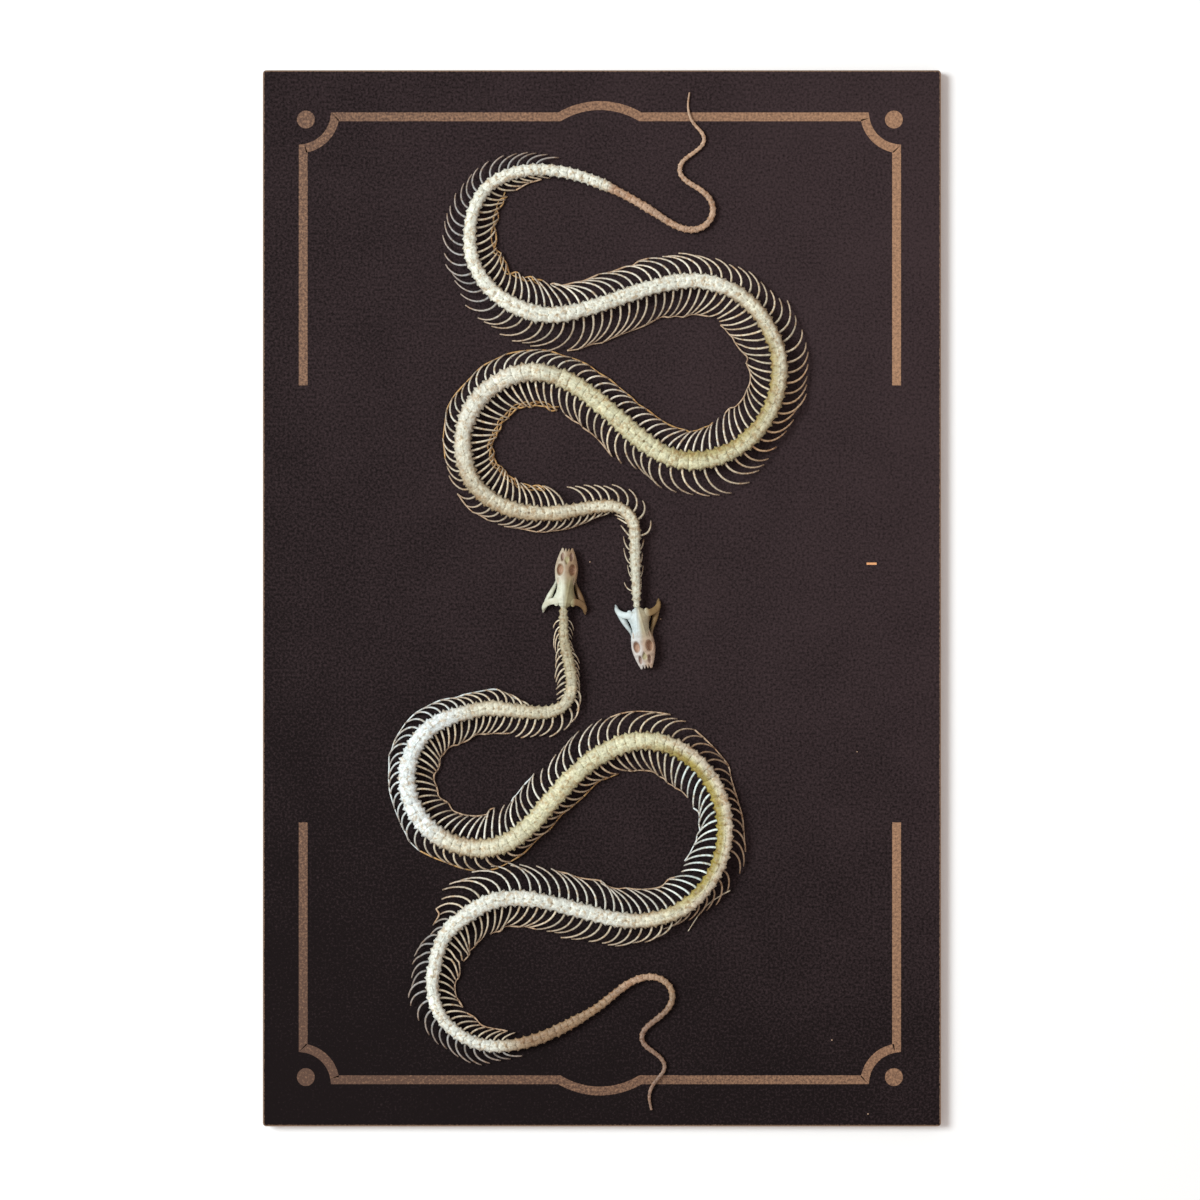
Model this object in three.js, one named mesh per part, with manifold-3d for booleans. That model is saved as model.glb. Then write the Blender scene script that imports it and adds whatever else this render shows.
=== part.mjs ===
// Two small colubrid snake skeletons laid out in loose S curves on one printed display board.
//
// Frame: millimetres, +Z up. The board lies flat, its long side runs along Y, and the origin is the
// middle of its underside. The upper snake (+Y half of the board) is parted into skull, jaws, neck,
// trunk lengths and tail, with the rib cage split into its two sides along the spine. The lower
// snake is one plain solid.
//
// Places on a spine: "along" is the distance down it from the back of the skull to the tail, "side"
// is the distance out to the snake's right, and "height" is measured from the face of the board.
// Places on a skull: "forward" from the back of the braincase and "side" out to the snake's left.

import * as THREE from "three";
import { mergeVertices } from "three/addons/utils/BufferGeometryUtils.js";
import Module from "manifold-3d";

const wasm = await Module();
wasm.setup();

// ---------------------------------------------------------------- driving dimensions

const BOARD = { width: 278, length: 433, thickness: 5, cornerRadius: 1.4, cornerSteps: 2 };

// Clearance between bones that are separate pieces, and between bones and board.
const CUT_GAP = 0.3;

// Route of each spine: [x, y, heading in degrees] where the curve is furthest out in each bend,
// and where one bend passes into the next.
const UPPER_ROUTE = [
  [14.2, -3.4, 91], [13.4, 27, 90], [3, 37.7, 180], [-23, 34.6, 180],
  [-48.9, 43, 138], [-57.7, 63.5, 90], [-28.5, 92.3, 0], [5, 74.5, -42],
  [36, 56.5, 0], [73.5, 94, 90], [61, 121.9, 138], [36, 130.2, 180],
  [0, 121.2, 198], [-21.5, 116.2, 180], [-55.2, 148, 90], [-48.4, 167.4, 46],
  [-26.5, 175.3, 0], [22.6, 157.1, -33], [36.8, 150.9, 0], [45.4, 159.5, 92],
  [38.7, 168.3, 149], [31.9, 176, 85], [38.5, 183.2, 38], [41.8, 188, 90],
  [38, 194, 130], [35.3, 201, 95], [35.9, 207.6, 82],
];
const LOWER_ROUTE = [
  [-15.4, -2.4, -91], [-15.4, -19, -86], [-13.4, -34, -90], [-16.2, -43, -132],
  [-28.5, -46.4, 180], [-45.5, -44.9, 180], [-75.4, -56.9, 233], [-80.2, -73.5, -90],
  [-50, -102.1, 0], [-14, -77, 50], [17, -58.2, 0], [50.2, -94.5, -90],
  [13.5, -132.1, 180], [-13, -126.8, 166], [-34.5, -122.9, 180], [-66, -137.2, 238],
  [-69.6, -157, -90], [-43, -183.7, 0], [-4, -169.3, 33], [19.8, -155, 0],
  [28.8, -163.2, -92], [22.3, -172.4, -142], [16.4, -180, -88], [23, -187.3, -42],
  [25.6, -191.8, -90], [22, -197.8, -128], [19.4, -204, -92], [20.5, -210.6, -78],
];

// Spine of both snakes: [along, half width over the joint processes, height of the underside,
// height of the crest].
const SPINE = [
  [0, 1.3, 2.6, 5.2], [6, 2.2, 2.4, 5.9], [40, 2.6, 2.3, 6.3], [70, 3.1, 2.5, 7.2],
  [105, 3.5, 2.8, 8.4], [150, 3.8, 3.1, 9.3], [230, 4.0, 3.2, 9.6], [330, 3.5, 3.2, 9.4],
  [430, 3.5, 2.9, 8.9], [500, 3.0, 1.6, 7.0], [526, 2.4, 0.8, 5.4], [560, 1.8, 0.4, 3.9],
  [600, 1.25, 0.3, 2.9], [640, 0.8, 0.3, 1.9], [660, 0.35, 0.3, 1.0],
];

// Rib tips: [along, reach to the snake's right, reach to its left].
const UPPER_SPREAD = [
  [0, 3.5, 3.2], [30, 5, 4], [38, 5.2, 7.6], [52, 4.4, 8.4], [68, 7.8, 10.8],
  [105, 8.6, 12.4], [150, 10.4, 14], [200, 10.3, 11.6], [258, 12.6, 14], [290, 11.4, 10.6],
  [322, 14, 12.4], [350, 11.8, 10.5], [395, 12.6, 12.2], [424, 12.4, 13.6], [470, 11.2, 11.2],
  [505, 8.8, 8.4], [526, 5.2, 3.6],
];
const LOWER_SPREAD = [
  [0, 2.8, 2.6], [20, 3.2, 5.2], [33, 3.8, 6.8], [44, 9.2, 4.2], [60, 10.2, 6.2],
  [90, 9.8, 7.6], [125, 10.4, 8.2], [172, 13.6, 8.4], [195, 12, 7.6], [235, 12.8, 9.8],
  [270, 9.8, 13.6], [296, 7, 10.8], [316, 9.6, 12.6], [345, 5.8, 11.8], [362, 10.6, 12.6],
  [425, 12.4, 12.2], [450, 12, 7], [470, 9.6, 9.4], [502, 7.4, 8.6], [518, 4.2, 5],
];

// Ribs: spacing of the vertebrae, how far a tip trails behind its root, and bone radius.
const RIB_SPACING = [[0, 2.8], [60, 3.1], [100, 3.55], [140, 3.95], [340, 4], [400, 3.85], [520, 3.7]];
const RIB_TRAIL = [[0, 5], [60, 8], [140, 10.5], [430, 10], [526, 6.5]];
const RIB_RADIUS = 0.5;
const RIB_ROOT_HALF_LENGTH = 0.55;
const RIB_ROOT = { across: 0.85, up: 0.38 };
const RIB_ARC = THREE.MathUtils.degToRad(74);
const FIRST_RIB = 9;
// Half the width of a rib's three-cornered section, as a share of its radius.
const RIB_CORNER_SPREAD = Math.cos(Math.PI / 6);
// Rings of the spine's solid: one at every joint up to here, then at every other joint, and then
// at even steps down the tail.
const TIGHT_NECK_END = 60;
const TAIL_STEP = 5.5;
// Plain spine left at each end of a length, before its first and after its last ring or rib.
const RING_MARGIN = { start: 1, end: 2.5 };
const RIB_MARGIN = 1;
// The upper snake's ribs are drawn in three straight runs each. The lower snake's are drawn in two,
// and stand on every third vertebra.
const UPPER_RIBS = { runs: 3, every: 1 };
const LOWER_RIBS = { runs: 2, every: 3 };

// Lengths of the upper snake, each from the end of the one before it to "end" along the spine.
const UPPER_LENGTHS = [
  { name: "neck", end: 43, halved: true },
  { name: "trunk_1", end: 113, halved: true },
  { name: "trunk_2", end: 281, halved: true },
  { name: "trunk_3", end: 446, halved: true },
  { name: "trunk_4", end: 527, halved: true },
  { name: "tail_1", end: 594, halved: false },
  { name: "tail_2", end: 659.5, halved: false },
];

// Skull: [forward from the back of the braincase, half width, underside, top].
const CRANIUM = [
  [0.3, 2.3, 3.6, 6.2], [2, 3.4, 3.1, 7], [4.5, 3.7, 2.9, 7.3], [8, 3.3, 2.9, 7.2],
  [10.6, 4.1, 2.8, 7], [13, 4.7, 2.7, 6.8], [16, 4.85, 2.6, 6.4], [19.8, 4.1, 2.5, 5.6],
  [22.5, 3.2, 2.5, 4.8], [24.2, 2.4, 2.6, 3.9],
];
// Corners of its section, and how full the sides are: 1 is an oval and less is squarer.
const CRANIUM_CORNERS = 8;
const CRANIUM_ROUNDNESS = 0.8;
// Lower jaw: [forward, side of its middle, width, height above the board].
const JAW = [
  [-3.2, 9, 0.9, 1.5], [0.4, 8.1, 1.7, 2.5], [4, 6.6, 1.8, 2.8], [7.5, 5, 1.5, 2.4],
  [10.5, 4.1, 1.3, 1.9], [15, 4, 1.2, 1.8], [20, 3.2, 1.2, 1.7], [23.2, 1.9, 0.9, 1.4],
];
// Width of the jaw's upper edge to each side of its middle, as a share of its full width.
const JAW_CREST_SHARE = 0.3;
// Quadrate: the flat bone from the side of the braincase to the jaw joint. Its inner end stops just
// short of the braincase on the upper snake, and is grown onto it on the lower one.
const QUADRATE_INNER_SIDE = { upper: 4, lower: 2.6 };
const QUADRATE = [
  { forward: 2.6, height: 6, length: 3.6, thickness: 0.8 },
  { forward: 0.9, side: 6.6, height: 4.4, length: 2.2, thickness: 0.9 },
  { forward: -0.6, side: 8.2, height: 1.9, length: 1.8, thickness: 1.1 },
];
const ORBIT = { forward: 14.7, side: 3, length: 4.6, width: 2.4, floor: 3.6 };
const NOSTRIL = { forward: 20.2, side: 1.9, length: 3.8, width: 1.1, floor: 4 };
// The eye sockets and nostrils are sunk by upright ovals that reach out past the top of the skull.
const SOCKET_CUTTER = { depth: 6, bevelEnabled: false, curveSegments: 4 };

// Where each skull sits: back of the braincase, and the way the snout points.
const UPPER_SKULL = { x: 14.8, y: -4.4, heading: -82, roll: 5 };
const LOWER_SKULL = { x: -15.3, y: -3.3, heading: 88, roll: 0 };

// ---------------------------------------------------------------- materials

const CARD_BROWN = "#2f2827";
const IVORY = "#e6dfc6";
const CREAM = "#dccfae";
const TAN = "#b79c7c";

const cardMaterial = () => new THREE.MeshStandardMaterial({ color: CARD_BROWN, roughness: 0.85 });
const boneMaterial = (color) => new THREE.MeshStandardMaterial({ color, roughness: 0.6 });

// ---------------------------------------------------------------- helpers

/** Value of a profile table at a distance along the spine, eased between its rows. */
function profile(table, along, column = 1) {
  const last = table[table.length - 1];
  if (along <= table[0][0]) return table[0][column];
  if (along >= last[0]) return last[column];
  const next = table.findIndex((row) => row[0] > along);
  const [before, after] = [table[next - 1], table[next]];
  const part = (along - before[0]) / (after[0] - before[0]);
  return before[column] + (after[column] - before[column]) * part * part * (3 - 2 * part);
}

/** A smooth curve through [x, y, heading] points, with Bezier handles sized as for circular arcs. */
function bentRoute(points) {
  const path = new THREE.CurvePath();
  for (let i = 1; i < points.length; i += 1) {
    const [x0, y0, heading0] = points[i - 1];
    const [x1, y1, heading1] = points[i];
    const turn = Math.abs(((heading1 - heading0 + 540) % 360) - 180);
    const spread = Math.cos(THREE.MathUtils.degToRad(turn) / 4) ** 2;
    const handle = Math.hypot(x1 - x0, y1 - y0) / (3 * spread);
    const [a0, a1] = [heading0, heading1].map(THREE.MathUtils.degToRad);
    path.add(new THREE.CubicBezierCurve3(
      new THREE.Vector3(x0, y0, 0),
      new THREE.Vector3(x0 + handle * Math.cos(a0), y0 + handle * Math.sin(a0), 0),
      new THREE.Vector3(x1 - handle * Math.cos(a1), y1 - handle * Math.sin(a1), 0),
      new THREE.Vector3(x1, y1, 0),
    ));
  }
  return path;
}

/** Closed solid through a row of rings that all have the same number of corners. */
function loft(rings) {
  const corners = rings[0].length;
  const positions = rings.flat().flatMap((point) => point.toArray());
  const index = [];
  for (let ring = 1; ring < rings.length; ring += 1) {
    for (let corner = 0; corner < corners; corner += 1) {
      const a = (ring - 1) * corners + corner;
      const b = (ring - 1) * corners + ((corner + 1) % corners);
      index.push(a, b, b + corners, a, b + corners, a + corners);
    }
  }
  const end = (rings.length - 1) * corners;
  for (let corner = 1; corner < corners - 1; corner += 1) {
    index.push(0, corner + 1, corner);
    index.push(end, end + corner, end + corner + 1);
  }
  const geometry = new THREE.BufferGeometry();
  geometry.setAttribute("position", new THREE.Float32BufferAttribute(positions, 3));
  geometry.setIndex(index);
  return geometry;
}

/** The same geometry as a solid that can be joined and cut. */
function toSolid(geometry) {
  const plain = geometry.clone();
  plain.deleteAttribute("normal");
  plain.deleteAttribute("uv");
  const merged = mergeVertices(plain);
  return new wasm.Manifold(new wasm.Mesh({
    numProp: 3,
    vertProperties: new Float32Array(merged.attributes.position.array),
    triVerts: new Uint32Array(merged.index.array),
  }));
}

/** A solid back as a geometry. */
function toGeometry(solid) {
  const mesh = solid.getMesh();
  const geometry = new THREE.BufferGeometry();
  geometry.setAttribute("position", new THREE.BufferAttribute(mesh.vertProperties, 3));
  geometry.setIndex(new THREE.BufferAttribute(mesh.triVerts, 1));
  geometry.computeVertexNormals();
  return geometry;
}

/** All the solids joined into one. */
function joined(solids) {
  return solids.reduce((whole, solid) => whole.add(solid));
}

function namedMesh(name, geometry, material) {
  const mesh = new THREE.Mesh(geometry, material);
  mesh.name = name;
  return mesh;
}

// ---------------------------------------------------------------- the board

function boardGeometry() {
  const { width, length, thickness, cornerRadius: r, cornerSteps } = BOARD;
  const [x, y] = [width / 2, length / 2];
  const outline = new THREE.Shape();
  outline.moveTo(-x + r, -y);
  outline.lineTo(x - r, -y);
  outline.absarc(x - r, -y + r, r, -Math.PI / 2, 0);
  outline.lineTo(x, y - r);
  outline.absarc(x - r, y - r, r, 0, Math.PI / 2);
  outline.lineTo(-x + r, y);
  outline.absarc(-x + r, y - r, r, Math.PI / 2, Math.PI);
  outline.lineTo(-x, -y + r);
  outline.absarc(-x + r, -y + r, r, Math.PI, Math.PI * 1.5);
  const extrusion = { depth: thickness, bevelEnabled: false, curveSegments: cornerSteps };
  return new THREE.ExtrudeGeometry(outline, extrusion);
}

/** A mesh built point by point, where a point may carry a tag that says what it belongs to. */
class ClosedMesh {
  points = [];
  tags = [];
  index = [];

  vertex(point, tag = {}) {
    this.points.push(point);
    this.tags.push(tag);
    return this.points.length - 1;
  }

  face(a, b, c) {
    this.index.push(a, b, c);
  }

  /** The wall between two rings with the same number of corners. */
  wall(ring, next) {
    ring.forEach((corner, count) => {
      const beside = (count + 1) % ring.length;
      this.face(corner, ring[beside], next[beside]);
      this.face(corner, next[beside], next[count]);
    });
  }

  /** Triangles that fill the strip between two rows of points, taken in order along the spine. */
  strip(row, nextRow) {
    const triangles = [];
    let [i, k] = [0, 0];
    const along = (points, place) => (place < points.length ? this.tags[points[place]].along : Infinity);
    while (i < row.length - 1 || k < nextRow.length - 1) {
      if (along(row, i + 1) < along(nextRow, k + 1)) {
        triangles.push([row[i], nextRow[k], row[i + 1]]);
        i += 1;
      } else {
        triangles.push([row[i], nextRow[k], nextRow[k + 1]]);
        k += 1;
      }
    }
    return triangles;
  }

  geometry() {
    const geometry = new THREE.BufferGeometry().setFromPoints(this.points);
    geometry.setIndex(this.index);
    geometry.computeVertexNormals();
    return geometry;
  }
}

// ---------------------------------------------------------------- spine, ribs and tail

const UP = new THREE.Vector3(0, 0, 1);

// The edge lines of the spine's solid, anticlockwise as seen from the tail end: corner of the
// section, and 1 on the snake's right or -1 on its left.
const EDGE_LINES = {
  right: [["keel", 1], ["belly", 1], ["process", 1], ["ridge", 1]],
  left: [["ridge", -1], ["process", -1], ["belly", -1], ["keel", -1]],
  both: [["belly", 1], ["process", 1], ["crest", 1], ["process", -1], ["belly", -1]],
};

// Corners of the spine's section: out from its middle as a share of the half width, and up from the
// underside as a share of the height. The keel and ridge stand half a cut gap off the middle.
const SECTION = {
  keel: { across: 0, up: 0, gap: CUT_GAP / 2 },
  belly: { across: 0.7, up: 0.15, gap: 0 },
  process: { across: 1, up: 0.5, gap: 0 },
  ridge: { across: 0, up: 1, gap: CUT_GAP / 2 },
  crest: { across: 0, up: 1, gap: 0 },
};

/** One snake's spine as a path, with the point, side direction and sizes at any place on it. */
class Backbone {
  constructor(route, spread) {
    this.path = bentRoute(route);
    this.length = this.path.getLength();
    this.spread = spread;
    this.lastRib = spread[spread.length - 1][0];
  }

  /** A point of the skeleton, from its place in body coordinates. */
  point(along, side, height) {
    const place = THREE.MathUtils.clamp(along / this.length, 0, 1);
    const tangent = this.path.getTangentAt(place);
    const point = this.path.getPointAt(place);
    point.x -= tangent.y * side;
    point.y += tangent.x * side;
    point.z = BOARD.thickness + height;
    return point;
  }

  /** Distances along the spine of the vertebrae between two places. */
  vertebrae(from, to) {
    const places = [];
    for (let along = FIRST_RIB; along < this.lastRib; along += profile(RIB_SPACING, along)) {
      if (along > from && along < to) places.push(along);
    }
    return places;
  }

  /** Places of the section rings: the joints between vertebrae, closer where the bends are tight. */
  joints(from, to) {
    const places = [from];
    const [first, last] = [from + RING_MARGIN.start, to - RING_MARGIN.end];
    let count = 0;
    for (const vertebra of this.vertebrae(from, to)) {
      const joint = vertebra - profile(RIB_SPACING, vertebra) / 2;
      const tight = joint < TIGHT_NECK_END;
      if ((tight || count % 2 === 0) && joint > first && joint < last) places.push(joint);
      count += 1;
    }
    for (let along = places.at(-1) + TAIL_STEP; along < last; along += TAIL_STEP) {
      if (along > this.lastRib) places.push(along);
    }
    return [...places, to];
  }

  /** A corner of the spine's section at a place along it. */
  corner(name, way, along) {
    const [halfWidth, underside, crest] = [1, 2, 3].map((column) => profile(SPINE, along, column));
    const { across, up, gap } = SECTION[name];
    return this.point(along, way * (across * halfWidth + gap), underside + up * (crest - underside));
  }

  /**
   * Middle line of one rib, in straight runs. It leaves the vertebra sideways, curves back and down
   * like the quarter of an ellipse, and ends just over the board.
   */
  ribLine(along, way, runs) {
    const reach = profile(this.spread, along, way > 0 ? 1 : 2);
    const trail = profile(RIB_TRAIL, along);
    const [halfWidth, underside, crest] = [1, 2, 3].map((column) => profile(SPINE, along, column));
    const rootSide = RIB_ROOT.across * halfWidth;
    const rootHeight = underside + RIB_ROOT.up * (crest - underside);
    const centres = [];
    for (let step = 0; step <= runs; step += 1) {
      const part = step / runs;
      const angle = RIB_ARC * part;
      const side = rootSide + (reach - rootSide) * Math.sin(angle) / Math.sin(RIB_ARC);
      const back = trail * (1 - Math.cos(angle)) / (1 - Math.cos(RIB_ARC));
      const height = rootHeight + (CUT_GAP - rootHeight) * part * part;
      centres.push(this.point(along + back, way * side, height));
    }
    return centres;
  }

  /** Grows a rib out of the three root corners that stand on the flank, in the order they turn. */
  growRib(mesh, roots, runs) {
    const { vertebra, way } = mesh.tags[roots[0]];
    const line = this.ribLine(vertebra, way, runs);
    const roles = roots.map((root) => mesh.tags[root].role);
    let ring = roots;
    for (let step = 1; step < runs; step += 1) {
      const run = new THREE.Vector3().subVectors(line[step + 1], line[step - 1]).normalize();
      const fore = new THREE.Vector3(-run.y, run.x, 0).normalize().multiplyScalar(way);
      const up = UP.clone().addScaledVector(run, -run.z).normalize();
      const raised = line[step].clone().addScaledVector(up, RIB_RADIUS / 2);
      const spread = RIB_CORNER_SPREAD * RIB_RADIUS;
      const corners = {
        low: line[step].clone().addScaledVector(up, -RIB_RADIUS),
        fore: raised.clone().addScaledVector(fore, spread),
        aft: raised.clone().addScaledVector(fore, -spread),
      };
      const next = roles.map((role) => mesh.vertex(corners[role]));
      mesh.wall(ring, next);
      ring = next;
    }
    const tip = mesh.vertex(line[runs]);
    ring.forEach((corner, count) => mesh.face(corner, ring[(count + 1) % ring.length], tip));
  }

  /**
   * A stretch of the spine with its ribs, as one closed mesh. Each edge line of the spine is a row
   * of points, with three more on the flank for every rib, and each strip between two lines is
   * filled with triangles. The triangle that spans a rib's three points is left open for the rib.
   */
  stretch(from, to, sides, { runs, every }) {
    const mesh = new ClosedMesh();
    const joints = this.joints(from, to);
    const carriers = this.vertebrae(from + RIB_MARGIN, to - RIB_MARGIN)
      .filter((_, count) => count % every === 0);
    const lines = EDGE_LINES[sides].map(([corner, way]) => {
      const marks = joints.map((along) => ({ along }));
      for (const vertebra of carriers) {
        const root = { vertebra, way };
        if (corner === "belly") marks.push({ along: vertebra, role: "low", ...root });
        if (corner === "process") {
          marks.push({ along: vertebra - RIB_ROOT_HALF_LENGTH, role: "fore", ...root });
          marks.push({ along: vertebra + RIB_ROOT_HALF_LENGTH, role: "aft", ...root });
        }
      }
      marks.sort((one, other) => one.along - other.along);
      return marks.map((mark) => mesh.vertex(this.corner(corner, way, mark.along), mark));
    });
    lines.forEach((line, count) => {
      const nextLine = lines[(count + 1) % lines.length];
      for (const corners of mesh.strip(line, nextLine)) {
        const { vertebra } = mesh.tags[corners[0]];
        const isRoot = vertebra !== undefined
        && corners.every((one) => mesh.tags[one].vertebra === vertebra);
        if (isRoot) this.growRib(mesh, corners, runs);
        else mesh.face(...corners);
      }
    });
    for (let count = 1; count < lines.length - 1; count += 1) {
      mesh.face(lines[0][0], lines[count + 1][0], lines[count][0]);
      mesh.face(lines[0].at(-1), lines[count].at(-1), lines[count + 1].at(-1));
    }
    return mesh.geometry();
  }
}

// ---------------------------------------------------------------- skull

/** Braincase and snout with the eye sockets and nostrils sunk in, pointing along +X. */
function craniumSolid() {
  const rings = CRANIUM.map(([forward, halfWidth, underside, top]) => {
    const ring = [];
    for (let corner = 0; corner < CRANIUM_CORNERS; corner += 1) {
      const angle = (corner / CRANIUM_CORNERS) * Math.PI * 2;
      ring.push(new THREE.Vector3(
        forward,
        halfWidth * Math.sign(Math.cos(angle)) * Math.abs(Math.cos(angle)) ** CRANIUM_ROUNDNESS,
        (top + underside) / 2 + ((top - underside) / 2) * Math.sin(angle),
      ));
    }
    return ring;
  });
  let skull = toSolid(loft(rings));
  for (const hole of [ORBIT, NOSTRIL]) {
    for (const way of [1, -1]) {
      const oval = new THREE.Shape();
      oval.absellipse(hole.forward, way * hole.side, hole.length / 2, hole.width / 2, 0, Math.PI * 2);
      const cutter = new THREE.ExtrudeGeometry(oval, SOCKET_CUTTER);
      cutter.translate(0, 0, hole.floor);
      skull = skull.subtract(toSolid(cutter));
    }
  }
  return skull;
}

/** One lower jaw with the quadrate that hangs it from the skull, which starts at innerSide. */
function jawSolid(way, innerSide) {
  const bar = JAW.map(([forward, side, width, height]) => [
    new THREE.Vector3(forward, way * side - width / 2, CUT_GAP),
    new THREE.Vector3(forward, way * side + width / 2, CUT_GAP),
    new THREE.Vector3(forward, way * side + width * JAW_CREST_SHARE, height),
    new THREE.Vector3(forward, way * side - width * JAW_CREST_SHARE, height),
  ]);
  const plate = QUADRATE.map(({ forward, side, height, length, thickness }) => {
    const place = way * (side ?? innerSide);
    const ring = [
      new THREE.Vector3(forward - length / 2, place, height - thickness / 2),
      new THREE.Vector3(forward + length / 2, place, height - thickness / 2),
      new THREE.Vector3(forward + length / 2, place, height + thickness / 2),
      new THREE.Vector3(forward - length / 2, place, height + thickness / 2),
    ];
    return way > 0 ? ring.reverse() : ring;
  });
  return toSolid(loft(bar)).add(toSolid(loft(plate)));
}

/** Turns a skull bone from its own frame to its place on the board. */
function placed(solid, { x, y, heading, roll }) {
  const geometry = toGeometry(solid);
  geometry.rotateX(THREE.MathUtils.degToRad(roll));
  geometry.rotateZ(THREE.MathUtils.degToRad(heading));
  geometry.translate(x, y, BOARD.thickness);
  return geometry;
}

// ---------------------------------------------------------------- assembly

const group = new THREE.Group();
group.add(namedMesh("board", boardGeometry(), cardMaterial()));

function addUpperSnake() {
  const flat = { ...UPPER_SKULL, roll: 0 };
  group.add(namedMesh("upper_cranium", placed(craniumSolid(), UPPER_SKULL), boneMaterial(IVORY)));
  for (const [side, way] of [["left", 1], ["right", -1]]) {
    const jaw = placed(jawSolid(way, QUADRATE_INNER_SIDE.upper), flat);
    group.add(namedMesh(`upper_jaw_${side}`, jaw, boneMaterial(CREAM)));
  }

  const backbone = new Backbone(UPPER_ROUTE, UPPER_SPREAD);
  let start = 0;
  for (const { name, end, halved } of UPPER_LENGTHS) {
    if (halved) {
      for (const side of ["left", "right"]) {
        const half = backbone.stretch(start, end - CUT_GAP, side, UPPER_RIBS);
        group.add(namedMesh(`upper_${name}_${side}`, half, boneMaterial(IVORY)));
      }
    } else {
      const tail = backbone.stretch(start, end - CUT_GAP, "both", UPPER_RIBS);
      group.add(namedMesh(`upper_${name}`, tail, boneMaterial(TAN)));
    }
    start = end;
  }
}

function addLowerSnake() {
  const backbone = new Backbone(LOWER_ROUTE, LOWER_SPREAD);
  const jaws = [1, -1].map((way) => jawSolid(way, QUADRATE_INNER_SIDE.lower));
  const skull = [craniumSolid(), ...jaws].map((solid) => toSolid(placed(solid, LOWER_SKULL)));
  const body = toSolid(backbone.stretch(0, backbone.length, "both", LOWER_RIBS));
  group.add(namedMesh("lower_snake", toGeometry(joined([body, ...skull])), boneMaterial(CREAM)));
}

addUpperSnake();
addLowerSnake();

export default group;
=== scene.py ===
"""Two small colubrid snake skeletons laid out in loose S curves on a printed display board.

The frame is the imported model's: +X to the board's right, +Y to its top, +Z out of its face, with the
origin in the middle of its underside. Sizes are in millimetres and are turned to metres when a mesh
is made. On a spine, "along" runs from the back of the skull to the tail, "side" out to the snake's
right and "height" up from the face of the board. On a skull, "forward" runs from the back of the
braincase to the snout and "side" out to the snake's left.
"""

import logging
import math
from dataclasses import dataclass, field
from enum import Enum
from typing import Any

import bpy
import numpy as np
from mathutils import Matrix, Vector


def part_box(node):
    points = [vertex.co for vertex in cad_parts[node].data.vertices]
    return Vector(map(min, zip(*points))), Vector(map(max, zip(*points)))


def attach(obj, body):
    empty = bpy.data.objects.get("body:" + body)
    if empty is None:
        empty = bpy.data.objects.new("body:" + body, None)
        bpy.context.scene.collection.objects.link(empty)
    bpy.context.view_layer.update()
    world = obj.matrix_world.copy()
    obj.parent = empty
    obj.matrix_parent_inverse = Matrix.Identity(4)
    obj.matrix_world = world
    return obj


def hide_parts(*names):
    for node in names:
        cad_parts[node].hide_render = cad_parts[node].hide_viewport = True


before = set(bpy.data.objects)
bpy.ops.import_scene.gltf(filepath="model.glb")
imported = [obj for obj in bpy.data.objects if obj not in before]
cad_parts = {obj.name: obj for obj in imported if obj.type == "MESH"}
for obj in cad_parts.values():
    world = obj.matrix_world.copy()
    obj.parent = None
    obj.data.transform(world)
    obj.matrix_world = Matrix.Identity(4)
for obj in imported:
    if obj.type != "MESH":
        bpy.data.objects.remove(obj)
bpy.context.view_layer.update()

LOG = logging.getLogger("snake_skeletons")

MM = 0.001
BOARD_FACE = 5.0
GLUE_GAP = 0.3
UP = np.array([0.0, 0.0, 1.0])
TINY = 1e-9


class Side(Enum):
    """The two sides of a snake, as the sign of a place's side on its spine."""

    LEFT = -1
    RIGHT = 1


# ---------------------------------------------------------------- routes and sizes of the snakes

# Places where each spine is furthest out in a bend, or passes from one bend to the next: x, y and
# heading in degrees.
UPPER_ROUTE = np.array([
    [14.2, -3.4, 91], [13.4, 27, 90], [3, 37.7, 180], [-23, 34.6, 180],
    [-48.9, 43, 138], [-57.7, 63.5, 90], [-28.5, 92.3, 0], [5, 74.5, -42],
    [36, 56.5, 0], [73.5, 94, 90], [61, 121.9, 138], [36, 130.2, 180],
    [0, 121.2, 198], [-21.5, 116.2, 180], [-55.2, 148, 90], [-48.4, 167.4, 46],
    [-26.5, 175.3, 0], [22.6, 157.1, -33], [36.8, 150.9, 0], [45.4, 159.5, 92],
    [38.7, 168.3, 149], [31.9, 176, 85], [38.5, 183.2, 38], [41.8, 188, 90],
    [38, 194, 130], [35.3, 201, 95], [35.9, 207.6, 82],
])
LOWER_ROUTE = np.array([
    [-15.4, -2.4, -91], [-15.4, -19, -86], [-13.4, -34, -90], [-16.2, -43, -132],
    [-28.5, -46.4, 180], [-45.5, -44.9, 180], [-75.4, -56.9, 233], [-80.2, -73.5, -90],
    [-50, -102.1, 0], [-14, -77, 50], [17, -58.2, 0], [50.2, -94.5, -90],
    [13.5, -132.1, 180], [-13, -126.8, 166], [-34.5, -122.9, 180], [-66, -137.2, 238],
    [-69.6, -157, -90], [-43, -183.7, 0], [-4, -169.3, 33], [19.8, -155, 0],
    [28.8, -163.2, -92], [22.3, -172.4, -142], [16.4, -180, -88], [23, -187.3, -42],
    [25.6, -191.8, -90], [22, -197.8, -128], [19.4, -204, -92], [20.5, -210.6, -78],
])
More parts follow.
